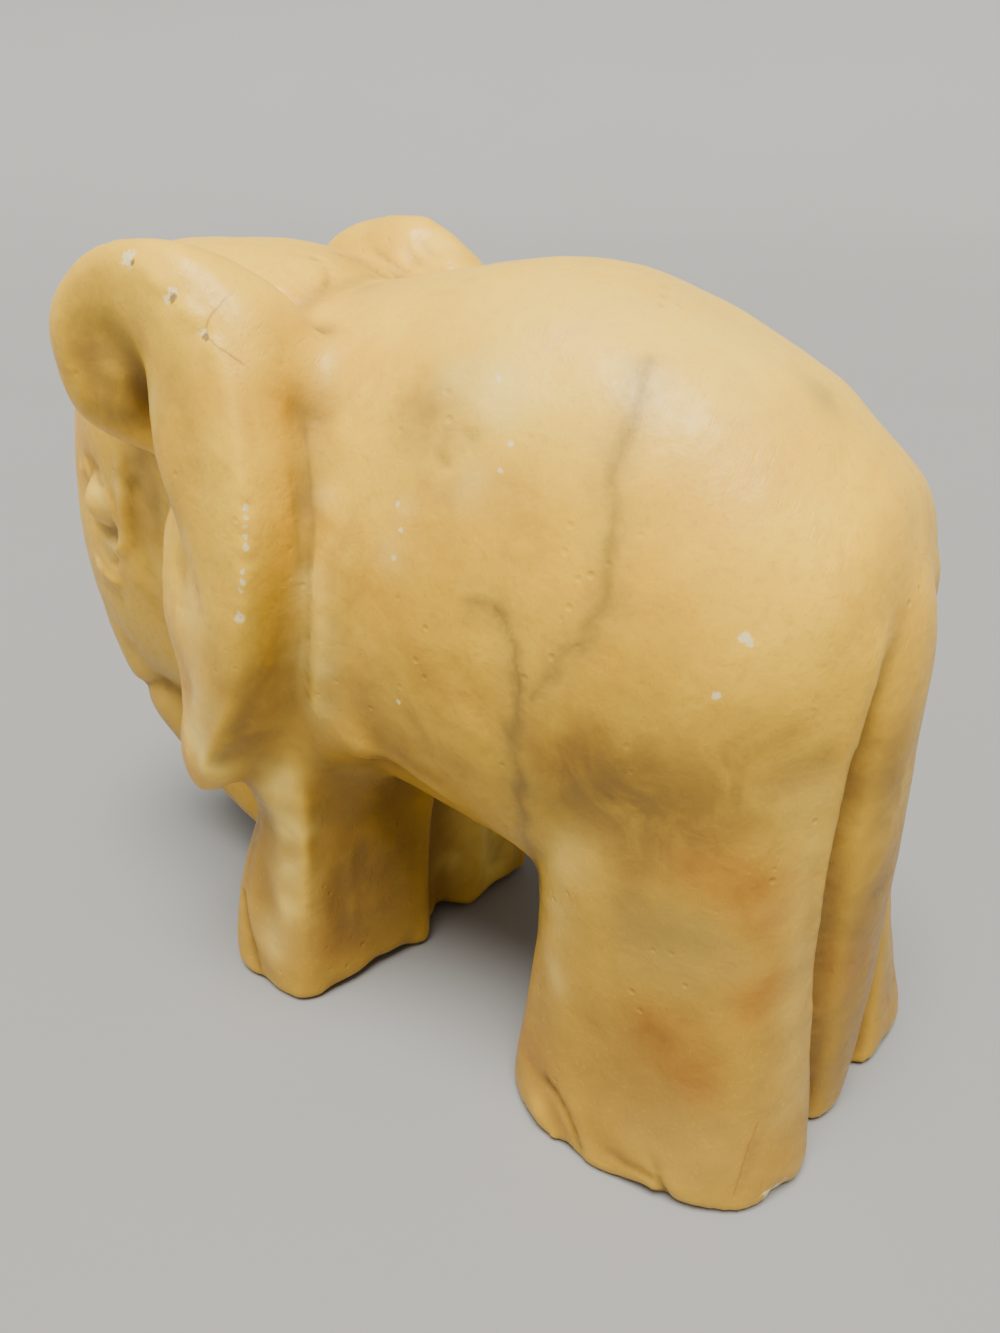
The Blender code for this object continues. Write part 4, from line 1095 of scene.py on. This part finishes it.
@dataclass
class Studio:
    """Pale floor, soft lights and the camera at the photograph's viewpoint."""

    eye: Place = (179.8, -37.0, 178.7)
    turn: float = 32.0
    dip: float = 25.18
    lens: float = FOCAL_PIXELS * FILM / PHOTO_HEIGHT_PIXELS
    sight: tuple[float, float] = (0.005, 50.0)
    floor_tone: Colour = (0.27, 0.268, 0.262, 1.0)
    floor_cloud: float = 0.94
    floor_rough: float = 0.7
    room_tone: Colour = (0.80, 0.79, 0.76, 1.0)
    room_power: float = 0.34
    lamps: tuple[tuple[str, Place, float, float, tuple[float, float, float]], ...] = (
        ("overhead", (0.30, 0.14, 1.0), 7.3, 34.0, (1.0, 0.985, 0.93)),
        ("side_fill", (1.0, -0.45, 0.70), 0.45, 50.0, (1.0, 0.99, 0.97)),
        ("rear_fill", (0.75, 1.0, 0.25), 0.35, 60.0, (1.0, 0.99, 0.97)),
    )
    sweep: tuple[tuple[float, float], ...] = ((1.6, 0.0), (2.2, 0.0), (2.6, 0.05), (3.0, 0.18), (3.3, 0.38),
                                              (3.6, 0.75), (3.75, 1.3))

    def floor(self) -> None:
        """A pale sheet that turns up into a backdrop behind the figure."""
        bpy.ops.object.select_all(action="DESELECT")
        bpy.ops.mesh.primitive_circle_add(vertices=96, radius=self.sweep[0][0], fill_type="NGON")
        sheet = bpy.context.view_layer.objects.active
        sheet.name = "pale_floor"
        bpy.ops.object.mode_set(mode="EDIT")
        bpy.ops.mesh.select_all(action="SELECT")
        bpy.ops.mesh.select_mode(type="EDGE")
        for (near, low), (far, high) in zip(self.sweep, self.sweep[1:]):
            bpy.ops.mesh.region_to_loop()
            bpy.ops.mesh.extrude_edges_move()
            bpy.ops.transform.translate(value=(0.0, 0.0, high - low))
            bpy.ops.transform.resize(value=(far / near, far / near, 1.0))
        bpy.ops.mesh.select_all(action="SELECT")
        bpy.ops.mesh.normals_make_consistent(inside=True)
        bpy.ops.object.mode_set(mode="OBJECT")
        bpy.ops.object.shade_smooth()
        material = bpy.data.materials.new("pale_floor")
        material.use_nodes = True
        bench = Bench(material.node_tree)
        shader = material.node_tree.nodes["Principled BSDF"]
        position = bench.node("ShaderNodeTexCoord").outputs["Object"]
        cloud = bench.noise(position, 3.0, 3.0)
        darker = tuple(self.floor_cloud * value for value in self.floor_tone[:3]) + (1.0,)
        bench.feed(shader, "Base Color", bench.blend(cloud, self.floor_tone, darker))
        shader.inputs["Roughness"].default_value = self.floor_rough
        sheet.data.materials.append(material)

    def light(self, name: str, source: Place, power: float, spread: float,
              tone: tuple[float, float, float]) -> None:
        """One broad, even light that comes from the source's direction.

        Args:
            name: Name of the lamp.
            source: Direction that the light comes from, in the frame.
            power: Its strength.
            spread: Its apparent width, degrees.
            tone: Its colour.
        """
        lamp = bpy.data.lights.new(name, "SUN")
        lamp.energy = power
        lamp.angle = math.radians(spread)
        lamp.color = tone
        holder = bpy.data.objects.new(name, lamp)
        holder.rotation_euler = Vector(source).to_track_quat("Z", "Y").to_euler()
        bpy.context.scene.collection.objects.link(holder)

    def camera(self, layout: Layout) -> None:
        """Put the camera where the photograph was taken.

        Args:
            layout: The figure's measure.
        """
        turn, dip = math.radians(self.turn), math.radians(self.dip)
        look = Vector((-math.cos(turn) * math.cos(dip), -math.sin(turn) * math.cos(dip), -math.sin(dip)))
        view = bpy.data.cameras.new("photo_view")
        view.lens = self.lens
        view.sensor_width = FILM
        view.clip_start, view.clip_end = self.sight
        holder = bpy.data.objects.new("photo_view", view)
        aim = look.to_track_quat("-Z", "Y").to_matrix().to_4x4()
        holder.matrix_world = Matrix.Translation(layout.at(self.eye)) @ aim
        bpy.context.scene.collection.objects.link(holder)
        bpy.context.scene.camera = holder

    def build(self) -> None:
        """Set the studio up."""
        layout = Layout.from_frame()
        self.floor()
        for name, source, power, spread, tone in self.lamps:
            self.light(name, source, power, spread, tone)
        world = bpy.data.worlds.new("pale_room")
        bpy.context.scene.world = world
        world.use_nodes = True
        background = world.node_tree.nodes["Background"].inputs
        background["Color"].default_value = self.room_tone
        background["Strength"].default_value = self.room_power
        self.camera(layout)


def main() -> None:
    """Load the frame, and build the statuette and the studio."""
    logging.basicConfig(level=logging.INFO, format="%(name)s %(message)s")
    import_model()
    piece = Statuette().build()
    LOG.info("%s stands for %s", piece.name, NODE)
    Studio().build()


if __name__ == "__main__":
    main()
